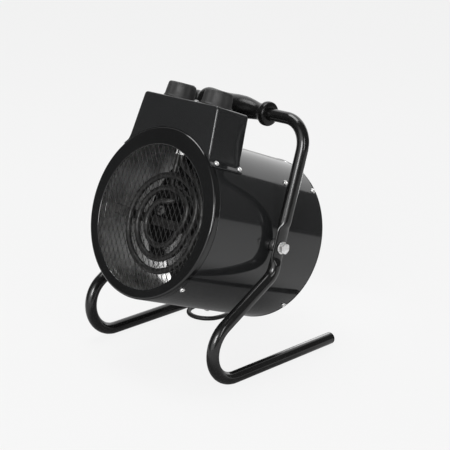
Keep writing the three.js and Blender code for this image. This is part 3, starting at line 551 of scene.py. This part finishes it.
def cord_gland():
    """An eight-sided collar and a ribbed sleeve that tapers to the lead, with its spigot in the ring."""
    face = RING_BACK + 0.3
    y = np.linspace(face + 6.6, face + 29.8, 80)
    along = y - y[0]
    sleeve = 6.6 - 2.4 * along / along[-1] - 0.5 * (np.sin(along * 2 * math.pi / 3.3) > 0.25)
    spigot = [(0, face - 6), (6.3, face - 6), (6.3, face + 6)]
    body = capped([*spigot, *zip(sleeve, y), (4.2, face + 30), (0, face + 30)], 40)
    collar = capped([(0, face), (9.6, face), (9.6, face + 6), (8.2, face + 6.3), (0, face + 6.3)], 8)
    return [moved(s, GLAND_X, 0, GLAND_H) for s in (body, collar)]


def add_cord():
    """The whole lead as one tube: loose run, coil and tail, with its gland, tie and plug."""
    line = np.vstack([smooth_path(RUN, 2.0), coil_path(), smooth_path(TAIL, 2.0)])
    line = resampled(line, 2.2)
    lead = piece("mains_lead", [swept(line, CORD_R, CORD_R, (1, 0.1, 1.05), 16)], RUBBER, None,
                 ["cord_run", "cord_coil", "cord_tail"], in_row, slot="cord_rubber")
    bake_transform(lead)
    plug = on_stand("plug_moulding", [plug_body()], RUBBER, ["plug_body"], "cord_rubber")
    pins = on_stand("plug_pins", plug_pins(), NICKEL, ["plug_pin_a", "plug_pin_b"], "pin_metal")
    tie = on_stand("lead_strap", [cord_tie()], PLAIN_PLASTIC, ["cord_tie"], "black_plastic")
    on_drum("lead_gland", cord_gland(), PLAIN_PLASTIC, ["cord_gland"], "black_plastic")
    length = float(np.linalg.norm(np.diff(line, axis=0), axis=1).sum()) * MM


add_cord()


# ------ stand
def stand_tube():
    """One side of the bent tube, pressed flat at the pivot, then its mirror image, as one hollow sweep."""
    corners = [
        ((FOOT_X, 116.38, FOOT_Z), 0), ((FOOT_X, -214.3234, FOOT_Z), 40), ((122, -1.6234, 130.8), 24),
        ((123.7, BAR_Y, BAR_Z), 36.4), ((0, BAR_Y, BAR_Z), 0),
    ]
    path = resampled(filleted(corners), 3.0)
    flat = np.clip(np.minimum((path[:, 2] - 143) / 9, (195 - path[:, 2]) / 9), 0, 1)
    flat = flat * flat * (3 - 2 * flat) * (path[:, 0] > 100) * (path[:, 1] > -40)
    shell = []
    for inset in (0.0, SHEET):
        across, up = TUBE_R - 4.25 * flat - inset, TUBE_R + 2.7 * flat - inset
        ring, _ = swept(path, across, up, (1.0, 0.314, 0.949), 32, ends=False)
        half = ring.reshape(len(path), 32, 3)
        shell.append(np.concatenate([half, half[-2::-1] * np.array([-1, 1, 1])]))
    outer, inner = shell
    lip = (outer + inner) / 2
    rows = np.concatenate([outer, lip[-1:], inner[::-1], lip[:1]])
    return grid(rows, wrap_rows=True)


def foot_cap(way):
    """A domed plastic plug with a thin rim, closing one end of the tube."""
    end = 116.68
    plug = [(0, end - 11), (6.3, end - 11), (6.3, end), (7.9, end + 0.02)]
    return moved(capped([*plug, *dome(8.0, end + 1.4, 4.2, 12)], 40), way * FOOT_X, 0, FOOT_Z)


def hand_grip():
    """A turned grip with a collar at its right end, its underside pressed flatter than its top."""
    shape = [
        (-84, 10.6), (-83, 11.7), (-80, 12), (-72, 11.9), (-68.5, 13), (-66, 15), (-63, 17.4),
        (-60, 18.5), (-56, 18.8), (-52, 18.5), (-42, 17.4), (-30, 16.6), (-15, 16.7), (-2, 17.2),
        (10.7, 16.7), (21.6, 14.9), (32.5, 12.4), (38, 11.6), (43, 11.9), (46, 12.6), (47.5, 13.8),
        (48.6, 15.4), (50.5, 16), (54, 16), (56, 15.7), (57.5, 14.8), (58, 13.4),
    ]
    line = smooth_path([(x, r, 0) for x, r in shape], 1.5)
    x, r = line[:, 0], line[:, 1]
    plain = np.clip((x - 40) / 6, 0, 1) + np.clip((-50 - x) / 6, 0, 1)
    under = np.minimum(r, 10.2 + 0.35 * (r - 11))
    under = under + (r - under) * plain
    sides = 56
    a = full_turn(sides)
    low = np.clip(-np.sin(a), 0, 1) ** 0.5
    height = r[:, None] * (1 - low) + under[:, None] * low
    outer = np.stack([np.outer(x, np.ones(sides)), np.outer(r, np.cos(a)), height * np.sin(a)[None]], -1)
    bore = [np.stack([np.full(sides, e), 8.45 * np.cos(a), 8.45 * np.sin(a)], -1) for e in (58, -84)]
    rows = np.concatenate([outer, bore[0][None], bore[1][None]])
    return moved(grid(rows, wrap_rows=True), 0, BAR_Y, BAR_Z)


def hex_block(across, low, high, bore=None):
    """A hexagonal head or nut, its flats cut back by a cone at the top: r = across / 2 / cos(a) a side."""
    a = full_turn(60)
    r = across / 2 / np.cos((a + math.pi / 6) % (math.pi / 3) - math.pi / 6)
    face = across / 2 * 0.97
    chamfer = high - 0.1 - np.clip((r - face) * 0.55, 0, 9)
    rings = []
    for radius, y in (
        (bore or 0.0, low), (r, low), (r, chamfer), (face, high - 0.1), (face * 0.94, high),
        (bore or 0.0, high),
    ):
        rings.append(np.stack([radius * np.cos(a), y * np.ones_like(a), radius * np.sin(a)], -1))
    return grid(np.array(rings), wrap_rows=bore is not None)


def add_pivots():
    """On each side: spacer, washer, bolt with a chamfered head, its shank, and its nut inside the drum."""
    def washer(low, high):
        return turned(softened(rectangle(4.4, low, 8, high), 0.35), 64)

    for side, way in SIDES:
        def place(p):
            """A fastener turned along x, at the pivot."""
            return np.stack([way * p[:, 1], PIVOT_Y + p[:, 0], PIVOT_Z + p[:, 2]], 1)

        # Spacer, shank and nut take the darker zinc, which is painted shade.
        for name, shape, finish in (
            ("spacer", washer(111.35, 118.2), ZINC_PAINTED_SHADE), ("washer", washer(126.4, 128.0), ZINC),
            ("bolt", hex_block(13, 128.25, 133.55), ZINC),
            ("shank", capped([(0, 98), (3.6, 98), (4, 98.5), (4, 129), (0, 129)], 32), ZINC_PAINTED_SHADE),
            ("nut", hex_block(13, 102.5, 109.0, 4.35), ZINC_PAINTED_SHADE),
        ):
            nodes = [f"pivot_{name}_{side}"] if name != "shank" else []
            on_stand(f"{name}_{side}", [shape], finish, nodes, "zinc", place)


on_stand("stand_sweep", [stand_tube()], TUBE_ENAMEL, ["stand_tube"], "black_paint")
on_stand("grip", [hand_grip()], GRIP_PLASTIC, ["handle_grip"], "black_plastic", crease=50)
for side, way in SIDES:
    on_stand(f"tube_end_{side}", [foot_cap(way)], GRIP_PLASTIC, [f"foot_cap_{side}"], "black_plastic")
add_pivots()


# ------ drum
ROUND = 192


def bezel():
    """A pressed ring: rounded outer corner, flat face, rolled lip round an opening that is set low."""
    front, rear, tuck = BEZEL_FRONT, BEZEL_REAR, DRUM_R - SHEET - 0.4
    quarter = np.linspace(0, math.pi / 2, 9)
    arc = [(DRUM_R - 3 + 3 * math.sin(a), front + 3 - 3 * math.cos(a)) for a in quarter]
    outer = [
        (DRUM_R - 3.5, front), *arc, (DRUM_R, front + 3.5), (DRUM_R, rear - 0.8), (DRUM_R, rear - 0.5),
        (DRUM_R - 0.4, rear), (tuck, rear), (tuck, rear + 8.6), (tuck - 1.4, rear + 8.6),
        (tuck - 1.4, front + 1.4),
    ]
    lip = [
        (OPENING + 0.8, front + 1.4), (OPENING, front + 1.1), (OPENING - 0.1, front + 0.55),
        (OPENING + 0.3, front + 0.15), (OPENING + 1.0, front), (OPENING + 1.5, front),
    ]
    profile = np.array([*outer, *lip])
    shift = np.array([0.0] * len(outer) + [1.0] * len(lip))
    a = full_turn(ROUND)
    r, s = profile.T
    x = np.outer(r, np.cos(a))
    h = np.outer(r, np.sin(a)) - OPENING_DROP * shift[:, None]
    return grid(np.stack([x, np.outer(s, np.ones(ROUND)), h], -1), wrap_rows=True)


def expanded_mesh(wide, high, reach, s, strand, thick, lean=14.0):
    """Diamond mesh leaning in its frame: each strand is a bar of hexagonal section, canted, joining two
    knuckles of the lattice, whose rows are half a cell high and offset by half a cell."""
    n = int(2 * reach / min(wide, high)) + 4
    i, j = np.meshgrid(np.arange(-n, n), np.arange(-n, n), indexing="ij")
    turn = math.radians(lean)
    c, k = math.cos(turn), math.sin(turn)

    def lattice(u, v):
        return np.stack([u * c - v * k, u * k + v * c], 1)

    u, v = ((i + 0.5 * (j % 2)) * wide).ravel(), (j * high / 2).ravel()
    bars = []
    for way in (-1, 1):
        a, b = lattice(u, v), lattice(u + way * wide / 2, v + high / 2)
        keep = (np.hypot(*a.T) < reach) & (np.hypot(*b.T) < reach)
        a, b = a[keep], b[keep]
        along = (b - a) / np.linalg.norm(b - a, axis=1)[:, None]
        side = np.stack([-along[:, 1], along[:, 0]], 1)
        a, b = a + along * strand * 0.1, b - along * strand * 0.1
        corners = []
        for end, fat in ((a, 1.25), ((a + b) / 2, 0.85), (b, 1.25)):
            for across, deep in ((-0.5, -0.15), (-0.3, 0.5), (0.5, 0.3), (0.5, -0.3), (0.0, -0.5)):
                flat = end + side * across * strand * fat
                depth = s + thick * (deep + way * across * 0.5)
                corners.append(np.stack([flat[:, 0], np.full(len(a), depth), flat[:, 1]], 1))
        bars.append(np.stack(corners, 1).reshape(len(a), 15, 3))
    points = np.concatenate(bars)
    ring = np.array([[k, (k + 1) % 5, (k + 1) % 5 + 5, k + 5] for k in range(5)])
    fan = np.array([[0, 4, 3], [0, 3, 2], [0, 2, 1]])
    one = np.vstack([ring, ring + 5])
    caps = np.vstack([fan, fan[:, [0, 2, 1]] + 10])
    lift = 15 * np.arange(len(points))[:, None, None]
    faces = [*(one[None] + lift).reshape(-1, 4).tolist(), *(caps[None] + lift).reshape(-1, 3).tolist()]
    return points.reshape(-1, 3), faces


def rim_wire(radius, s, thick):
    """The guard's edge, a flat band all the way round."""
    return turned(softened(rectangle(radius - 2.5, s - thick / 2, radius, s + thick / 2), 0.2), 160)


def liner():
    """A thin cylinder in three bands, the middle one open at the top where the element's leads pass."""
    def band(s0, s1, start, stop, count, closed):
        a = np.linspace(start, stop, count, endpoint=not closed)
        r, s = softened(rectangle(99, s0, 100, s1), 0.1, 1).T
        points = np.stack([np.outer(np.cos(a), r), np.outer(np.ones(count), s), np.outer(np.sin(a), r)], -1)
        return grid(points, wrap_rows=True) if closed else grid(closed_ends(points))

    gap = math.asin(20 / 99.5)
    bands = [band(-115.2, -104, 0, 2 * math.pi, 180, True), band(-72, -22.4, 0, 2 * math.pi, 180, True)]
    bands.append(band(-104.05, -71.95, math.pi / 2 + gap, 2.5 * math.pi - gap, 170, False))
    flanges = (rectangle(99.2, -115.55, 107.8, -114.6), rectangle(99.2, -23, 109.3, -22))
    return [*bands, *[turned(softened(flange, 0.2), 180) for flange in flanges]]


def rear_ring():
    """A turned ring: a lip over the drum's edge, a flat annulus and a skirt inside the drum."""
    tuck, face, back, inner = DRUM_R - SHEET - 0.4, RING_FACE, RING_BACK, RING_INNER
    profile = [
        (tuck - 1.2, face - 10.5), (tuck, face - 10.5), (tuck, face), (111.0, face), (111.4, face + 0.3),
        (111.4, back - 0.5), (110.9, back), (91, back), (89.6, back), (inner + 0.4, back),
        (inner, back - 0.4), (inner, face + 0.3), (inner + 0.3, face), (tuck - 1.2, face),
    ]
    return turned(profile, ROUND)


def screw_head(degrees, s, seat):
    """A pan head whose face is a grid of rings, sunk by a cross-shaped recess, on a short shank."""
    rings, sides = 14, 48
    a = full_turn(sides)
    r = np.linspace(0, 2.9, rings)[:, None]
    x, z = r * np.cos(a), r * np.sin(a)
    arm = np.minimum(np.abs(x), np.abs(z))
    reach = np.maximum(np.abs(x), np.abs(z))
    cross = np.clip((0.55 - arm) / 0.25, 0, 1) * np.clip((2.05 - reach) / 0.3, 0, 1)
    y = 2.3 - 0.5 * (r / 3.4) ** 2 - 0.95 * cross
    top = np.stack([x, y, z], -1)
    edge = [(3.25, 1.55), (3.4, 1.1), (3.4, 0.1), (3.3, 0.0), (1.9, 0.0), (1.9, -7), (0.0, -7)]
    skirt = np.array([np.stack([q * np.cos(a), np.full(sides, w), q * np.sin(a)], -1) for q, w in edge])
    p, faces = spun(grid(np.concatenate([top, skirt])), degrees * 7.3)
    t = math.radians(degrees)
    out, round_way = np.array([math.cos(t), 0, math.sin(t)]), np.array([-math.sin(t), 0, math.cos(t)])
    points = np.outer(p[:, 1] + seat, out) + np.outer(p[:, 0], round_way) + np.outer(p[:, 2], [0, 1, 0])
    return points + [0, s, 0], faces


def shade_and_glint_inside(obj, coat, glint_metal):
    """Faces on the inside of the drum's sheet get the coat, a matt black that is painted shade; low in front
    they get bright metal instead, placed only where glints are wanted: painted glints.
    """
    faces = obj.data.polygons
    centre = np.empty(len(faces) * 3)
    faces.foreach_get("center", centre)
    x, y, z = centre.reshape(-1, 3).T / MM
    s = (y - PIVOT_Y) * math.cos(TILT) - (z - PIVOT_Z) * math.sin(TILT)
    h = (y - PIVOT_Y) * math.sin(TILT) + (z - PIVOT_Z) * math.cos(TILT)
    inside = (np.hypot(x, h) < DRUM_R - SHEET / 2).astype(np.int32)
    obj.data.materials.append(coat)
    obj.data.materials.append(glint_metal)
    # Inside faces get the matt black painted shade; those low in front get the bright metal for painted
    # glints.
    faces.foreach_set("material_index", inside * (1 + (s < GLINT_S) * (h < GLINT_H)))


def add_drum():
    """Shell, front ring, guards, liner, rear ring and every screw."""
    section = softened(rectangle(DRUM_R - SHEET, DRUM_FRONT, DRUM_R, DRUM_REAR), 0.3, hold=0.25).tolist()
    # The last two points add an edge where the bright metal for painted glints begins.
    shell = turned([*section, (DRUM_R - SHEET, GLINT_S + 0.1), (DRUM_R - SHEET, GLINT_S - 0.1)], ROUND)
    made = on_drum("drum_shell", [shell], ENAMEL, ["housing_shell"], "black_paint")
    # Inside the sheet: matt black as painted shade, and bright metal low in front for painted glints.
    shade_and_glint_inside(made, INNER_PAINTED_SHADE, GLINT_SHEET)
    # The front ring gets the darker copy of the enamel: painted shade.
    on_drum("bezel_ring", [bezel()], RING_ENAMEL_SHADED, ["front_bezel"], "black_paint")
    guard = [expanded_mesh(8.4, 18.3, 106.0, -116.0, 0.78, 0.7), rim_wire(107.4, -116.0, 1.0)]
    on_drum("front_guard", guard, WIRE, ["front_grille"], "mesh_wire", crease=20)
    on_drum("liner_sheet", liner(), LINER, ["inner_liner"], "steel")
    on_drum("back_ring", [rear_ring()], ENAMEL, ["rear_ring"], "black_paint")
    guard = [expanded_mesh(10.6, 23.2, 89.0, 93.6, 1.3, 1.0), rim_wire(90.0, 93.6, 1.1)]
    on_drum("back_guard", guard, WIRE, ["rear_grille"], "mesh_wire", crease=20)
    for name, (angle, s, seat) in zip(SCREW_NAMES, SCREWS):
        for side, around in (("right", angle), ("left", 180 - angle)):
            head = screw_head(around, s, seat)
            on_drum(f"pan_{name}_{side}", [head], ZINC, [f"screw_{name}_{side}"], "zinc")
    on_drum("pan_bracket_bottom", [screw_head(270, 31.6, 111.3)], ZINC, ["screw_bracket_bottom"], "zinc")


add_drum()


# ------ control box
def box_outline():
    """The folded sheet's outline: a flange on the drum, a bend, up one side, across and down the other."""
    side = lambda h: BOX_HALF + BOX_SPREAD * (BOX_TOP - h)
    t = np.radians(np.linspace(43.4, 47.0, 6))
    flange = np.stack([112.5 * np.cos(t), 112.5 * np.sin(t)], 1)
    corner = [(side(84.2), 84.2), (side(BOX_TOP), BOX_TOP), (0, BOX_TOP)]
    half = np.vstack([flange, corner])
    line = softened(half, [0] * 6 + [2.0, 4.6, 0], 7, closed=False)
    step = np.linalg.norm(np.diff(line, axis=0), axis=1)
    line = line[np.concatenate([[True], step > 1e-6])]
    step = step[step > 1e-6]
    parts = np.maximum(1, np.ceil(step / 2.2)).astype(int)
    at = np.concatenate([[0], np.repeat(1 / parts, parts).cumsum()])
    line = np.stack([np.interp(at, np.arange(len(line)), line[:, k]) for k in (0, 1)], 1)
    return np.vstack([line, line[-2::-1] * [-1, 1]])


def box_skin():
    """Sheet from the drum's arc up the front, over a rounded edge, along the side and down the rear."""
    line = box_outline()
    tangent = np.gradient(line, axis=0)
    tangent /= np.linalg.norm(tangent, axis=1)[:, None]
    normal = np.stack([tangent[:, 1], -tangent[:, 0]], 1)
    angle = np.arctan2(line[:, 1], line[:, 0])
    arc = 111.45 * np.stack([np.cos(angle), np.sin(angle)], 1)
    fillet = np.minimum(2.6, 0.45 * np.linalg.norm(line - arc, axis=1))[:, None]
    phi = np.linspace(0, math.pi / 2, 8)
    rows = []

    def row(flat, s):
        rows.append(np.column_stack([flat[:, 0], np.broadcast_to(s, len(flat)), flat[:, 1]]))

    def end(s, way):
        inset = line - normal * fillet
        rim = [
            (line - normal * fillet * (1 - math.sin(f)), s - way * fillet[:, 0] * (1 - math.cos(f)))
            for f in phi
        ]
        panel = [(arc + (inset - arc) * w, s) for w in (0.0, 0.012, 0.25, 0.5, 0.75, 0.985)]
        return panel + rim

    for flat, s in end(BOX_FRONT, -1):
        row(flat, s)
    for w in (0.055, 0.25, 0.5, 0.75, 0.945):
        row(line, BOX_FRONT + (BOX_REAR - BOX_FRONT) * w)
    for flat, s in reversed(end(BOX_REAR, 1)):
        row(flat, s)
    return grid(np.array(rows), wrap_columns=False)


def knob(turn):
    """A knob whose radius falls as it rises and dips between six lobes, with rounded rims and a rib."""
    sides = 144
    a = full_turn(sides)
    z = [0, 0, 0.4, 1.5, 2.1, 2.8, 8, 14, 17.4, 18.7, 19.6, 20.2, 20.4, 20.4, 20.4]
    r = [0, 20.5, 21.0, 21.0, 20.7, 20.4, 20.0, 19.4, 19.0, 18.6, 17.8, 16.6, 15.2, 9.0, 0]
    dip = [0, 0, 0, 0, 0.3, 0.8, 1, 1, 1, 0.9, 0.7, 0.4, 0.2, 0, 0]
    lobes = (0.5 + 0.5 * np.cos(6 * a)) ** 2.2
    radius = np.array(r)[:, None] - 1.0 * np.array(dip)[:, None] * lobes[None]
    body = grid(np.stack([radius * np.cos(a), radius * np.sin(a), np.outer(z, np.ones(sides))], -1))
    rib = slab((3, -1.0, 20.0), (15.2, 1.0, 21.2))
    surfaces = []
    c, k = math.cos(math.radians(turn)), math.sin(math.radians(turn))
    for p, faces in (body, rib):
        x, y = p[:, 0] * c - p[:, 1] * k, p[:, 0] * k + p[:, 1] * c
        surfaces.append((np.stack([x, y, p[:, 2]], 1), faces))
    return surfaces


def add_controls():
    """The box with its two knobs and the lamp."""
    on_drum("box_sheet", [box_skin()], ENAMEL, ["control_box"], "black_paint", wall=SHEET, crease=40)
    for name, x, turn in (("thermostat", KNOB_X, -137), ("mode", -KNOB_X, 40)):
        body = [moved(s, x, KNOB_S, BOX_TOP + 0.4) for s in knob(turn)]
        piece(f"{name}_dial", body, KNOB_PLASTIC, f"{name}_dial", [f"{name}_knob"], slot="knob_plastic")
    foot = [(0, -9), (3.6, -9), (3.6, 0.3), (5, 0.3), (5, 1.3), (4.7, 1.6), (3.6, 1.6)]
    lamp = capped([*[(r, BOX_TOP + y) for r, y in foot], *dome(3.6, BOX_TOP + 2.0, 1.8, 9)], 40)
    on_drum("lamp_dome", [moved(upright(lamp), 0, LAMP_S, 0)], LENS, ["indicator_lamp"], "lamp_lens")


add_controls()


# ------ element, fan and motor
FAN_MIDDLE, BLADES = -8.9, 5


def element_line():
    """Down from the right terminal, round three narrowing rings, then up behind to the left terminal."""
    def ring(degrees, r, s=ELEMENT_S):
        a = np.radians(degrees)
        return np.stack([r * np.cos(a), s + 0.0 * r, r * np.sin(a) - ELEMENT_DROP], 1)

    lead_in = np.arange(76, 0, -12.0)
    points = [np.array([(3.2, -91, 97), (3.2, -91, 80), (6.7, -91, 71)])]
    points.append(ring(lead_in, 65.4 + 11 * lead_in / 76))
    for start, stop in ((62.4, 46.0), (46.0, 29.5)):
        a = np.arange(-6, -330, -15.0)
        points.append(ring(a, np.full(len(a), start)))
        a = np.arange(-334, -366, -10.0)
        points.append(ring(a, start + (stop - start) * (-324 - a) / 46))
    a = np.arange(-8, -250.1, -20.0)
    points.append(ring(a, np.full(len(a), 29.5)))
    points.append(ring(np.array([-266.0]), np.array([28.5]), -89.0))
    points.append(ring(np.array([-276.0]), np.array([32.5]), -84.0))
    points.append(np.array([(-8.5, -80, 34), (-13.5, -79, 46), (-14.5, -79, 58), (-14.5, -79, 97)]))
    return smooth_path(np.vstack(points), 1.6)


def terminals():
    """Ceramic beads with a groove, one over each end of the element."""
    profile = [
        (0, 97.3), (4.2, 97.3), (4.9, 98), (4.9, 100.2), (4.2, 100.8), (4.2, 101.6), (4.9, 102.2),
        (4.9, 104.4), (3.4, 105.4), (2, 106), (2, 116.6), (1.6, 117), (0, 117),
    ]
    return [moved(upright(capped(profile, 40)), x, s, 0) for _, x, s in ELEMENT_ENDS]


def fan_blade(turn):
    """A blade's oval section, turned and widened as it runs from the hub to the tip, and dished."""
    t = np.linspace(0, 1, 26)[:, None]
    a = full_turn(40)[None]
    taper = 1 - 0.55 * np.clip((t - 0.82) / 0.18, 0, 1) ** 2
    width = 11 + 10 * np.sin(math.pi * (0.15 + 0.6 * t)) * taper
    pitch = np.radians(32 + 20 * (1 - t))
    u, v = width * np.cos(a), 0.6 * np.sin(a) + 0.012 * (width * np.cos(a)) ** 2
    radius = 16 + 67.4 * t + 0 * a
    x, y = u * np.cos(pitch) + v * np.sin(pitch), FAN_MIDDLE - u * np.sin(pitch) + v * np.cos(pitch)
    return spun(grid(closed_ends(np.stack([x, y, radius], -1))), turn)


def add_inside():
    """Element, its terminals and nuts, the fan with its hub, and the motor behind it."""
    sheath = swept(element_line(), ELEMENT_R, ELEMENT_R, (0, 1, 0.02), 20)
    on_drum("element_tube", [sheath], SHEATH, ["heating_element"], "element_sheath")
    beads = ["element_terminal_right", "element_terminal_left"]
    on_drum("element_beads", terminals(), CERAMIC, beads, "ceramic")
    for side, x, s in ELEMENT_ENDS:
        # The element's nuts take the darker zinc: painted shade inside the drum.
        nut = moved(upright(hex_block(13, 81.0, 89.0, 4.75)), x, s, 0)
        on_drum(f"lead_nut_{side}", [nut], ZINC_PAINTED_SHADE, [f"element_nut_{side}"], "zinc")
    cup = [(4.3, -20), (15, -20), (18.5, -19), (20, -16.5), (20, 4), (17, 4), (17, -12), (4.3, -12)]
    hub = turned(cup, 64)
    blades = [fan_blade(360 / BLADES * i) for i in range(BLADES)]
    shaft = capped([(0, -29), (3.4, -29), (4, -28.4), (4, 32), (0, 32)], 32)
    piece("fan_blades", blades, FAN_METAL_SHADED, "fan", ["fan_wheel"], slot="fan_metal")
    # The hub and the shaft nut take the motor's black paint: painted shade in the drum's middle.
    piece("fan_hub", [hub], MOTOR_PAINT, "fan", slot="fan_metal")
    piece("shaft", [shaft], SHEATH, "fan", ["motor_shaft"], slot="steel")
    piece("shaft_nut", [hex_block(12, -26.3, -20.3, 4.3)], MOTOR_PAINT, "fan", ["fan_nut"], slot="zinc")
    y = np.linspace(24, 50, 60)
    stack = 36.2 - 0.35 * (np.sin(y * 2 * math.pi / 1.6) > 0)
    profile = [
        (4.35, 8.8), (12, 8.8), (12, 12.6), (30, 12.6), (35, 14), (36.6, 17), (36.6, 23.6), *zip(stack, y),
        (36.6, 50.4), (36.6, 55), (33, 60), (20, 62.5), (14, 62.5), (14, 64), (0, 64), (0, 33), (4.35, 33),
    ]
    on_drum("motor_case", [turned(profile, 96)], MOTOR_PAINT, ["fan_motor"], "motor_case")


add_inside()

# CAD nodes that keep their shape get a finish.
for kept, coat in {
    "element_support": SHEATH, "terminal_plate": STEEL, "thermal_cutout": STEEL, "motor_bracket": MOTOR_PAINT,
    "thermostat_spindle": STEEL, "mode_spindle": STEEL, "thermostat_body": PLAIN_PLASTIC,
    "mode_switch": PLAIN_PLASTIC,
}.items():
    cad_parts[kept].data.materials.clear()
    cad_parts[kept].data.materials.append(coat)


# ------ studio
PAPER, FLOOR_PAPER, BACKDROP = 0.887, 0.93, 1.25
SHADE, SHADE_AT, SHADE_FROM, SHADE_TO = 0.2, (0.02, -0.06, 0.0), 0.12, 0.25
GLOOM, ROOM_EDGE = 0.13, 2.4
KEY_WAY, KEY_GLOW = (0.25, -0.9, 0.36), 1.9


class Mixer:
    """Small sums on sockets in one node tree."""

    def __init__(self, tree):
        self.tree = tree

    def node(self, kind):
        return self.tree.nodes.new("ShaderNode" + kind)

    def measure(self, how, vector, other=(0.0, 0.0, 0.0)):
        """A vector's length, or its distance from another vector or product with it."""
        made = self.node("VectorMath")
        made.operation = how
        self.put(vector, made.inputs[0])
        made.inputs[1].default_value = other
        return made.outputs["Value"]

    def put(self, value, socket):
        if hasattr(value, "is_output"):
            self.tree.links.new(value, socket)
        else:
            socket.default_value = value

    def sum(self, how, a, b=0.0):
        made = self.node("Math")
        made.operation = how
        self.put(a, made.inputs[0])
        self.put(b, made.inputs[1])
        return made.outputs[0]

    def ease(self, value, low, high):
        """0 below low, 1 above high, smooth between."""
        made = self.node("MapRange")
        made.interpolation_type = "SMOOTHSTEP"
        self.put(value, made.inputs["Value"])
        made.inputs["From Min"].default_value, made.inputs["From Max"].default_value = low, high
        return made.outputs["Result"]

    def blend(self, share, a, b):
        """a where share is 0, b where it is 1."""
        rest = self.sum("MULTIPLY", self.sum("SUBTRACT", 1.0, share), a)
        return self.sum("ADD", self.sum("MULTIPLY", share, b), rest)


def add_floor():
    """Paper white to the camera, with the shadow of lit card under it. Reflections find paper too, but
    for the shade beneath the drum and the dim room past 2.4 m on the right."""
    mesh = bpy.data.meshes.new("floor")
    e = 6.0
    mesh.from_pydata([(-e, -e, 0), (e, -e, 0), (e, e, 0), (-e, e, 0)], [], [(0, 1, 2, 3)])
    floor = linked("floor", mesh)
    material = bpy.data.materials.new("floor_paper")
    material.use_nodes = True
    tree = material.node_tree
    sums = Mixer(tree)
    card = tree.nodes["Principled BSDF"]
    card.inputs["Base Color"].default_value = (0.8, 0.8, 0.8, 1)
    card.inputs["Roughness"].default_value = 0.9
    card.inputs["Specular IOR Level"].default_value = 0.0
    rays = sums.node("LightPath")
    straight = sums.sum("MAXIMUM", rays.outputs["Is Camera Ray"], rays.outputs["Is Transmission Ray"])
    here, across = sums.node("TexCoord").outputs["Object"], sums.node("SeparateXYZ")
    tree.links.new(here, across.inputs[0])
    beyond = sums.ease(sums.measure("LENGTH", here), ROOM_EDGE, ROOM_EDGE + 0.1)
    beyond = sums.sum("MULTIPLY", beyond, sums.ease(across.outputs["X"], 0.0, 0.1))
    beneath = sums.ease(sums.measure("DISTANCE", here, SHADE_AT), SHADE_FROM, SHADE_TO)
    beneath = sums.sum("SUBTRACT", 1.0, beneath)
    mirrored = sums.blend(beyond, sums.blend(beneath, PAPER, SHADE), GLOOM)
    paper = sums.node("Emission")
    tree.links.new(sums.blend(straight, mirrored, FLOOR_PAPER), paper.inputs["Strength"])
    share = sums.blend(sums.sum("MAXIMUM", beyond, beneath), 0.5, 0.97)
    share = sums.sum("MULTIPLY", rays.outputs["Is Glossy Ray"], share)
    cover = sums.node("MixShader")
    tree.links.new(sums.sum("MAXIMUM", share, sums.sum("MULTIPLY", straight, 0.92)), cover.inputs["Fac"])
    tree.links.new(card.outputs[0], cover.inputs[1])
    tree.links.new(paper.outputs[0], cover.inputs[2])
    tree.links.new(cover.outputs[0], tree.nodes["Material Output"].inputs["Surface"])
    mesh.materials.append(material)


def add_world():
    """Even room light; reflections find paper behind and to the left, a glow towards the key lamp, and
    a dim room elsewhere."""
    world = bpy.data.worlds.new("room")
    bpy.context.scene.world = world
    world.use_nodes = True
    tree = world.node_tree
    sums = Mixer(tree)
    rays, way = sums.node("LightPath"), sums.node("SeparateXYZ")
    ahead = sums.node("TexCoord").outputs["Generated"]
    tree.links.new(ahead, way.inputs[0])
    x, y = way.outputs["X"], way.outputs["Y"]
    left = sums.ease(sums.sum("SUBTRACT", sums.sum("MULTIPLY", y, 0.03), x), -0.005, 0.01)
    behind = sums.ease(y, 0.0, 0.3)
    mirrored = sums.blend(sums.sum("MULTIPLY", left, behind), GLOOM, BACKDROP)
    glow = sums.ease(sums.measure("DOT_PRODUCT", ahead, KEY_WAY), 0.74, 0.97)
    mirrored = sums.blend(glow, mirrored, KEY_GLOW)
    straight = sums.sum("MAXIMUM", rays.outputs["Is Camera Ray"], rays.outputs["Is Transmission Ray"])
    light = sums.blend(rays.outputs["Is Glossy Ray"], 0.35, mirrored)
    light = sums.blend(straight, light, PAPER)
    room = tree.nodes["Background"]
    room.inputs["Color"].default_value = (1, 1, 1, 1)
    tree.links.new(light, room.inputs["Strength"])


def softbox(name, at, towards, size, power):
    """A rectangular lamp in metres, turned so that it faces a point."""
    data = bpy.data.lights.new(name, "AREA")
    data.shape, data.size, data.size_y, data.energy = "RECTANGLE", size[0], size[1], power
    lamp = linked(name, data)
    lamp.location, lamp.rotation_euler = at, facing(at, towards)
    return lamp


add_floor()
add_world()
HEATER = (0, 0, 0.2)
softbox("front_key", (1.0, -2.0, 1.25), HEATER, (0.9, 0.9), 34)
softbox("top_sheet", (-0.5, 0.1, 2.3), HEATER, (1.1, 1.1), 24)
softbox("right_strip", (2.3, -0.5, 1.3), HEATER, (0.35, 1.5), 12)
rear_card = softbox("rear_card", (-0.05, 0.31, 0.155), (-0.02, 0.1, 0.145), (0.14, 0.13), 0.19)
rear_card.visible_camera = False

bpy.context.scene.view_settings.view_transform = "Standard"
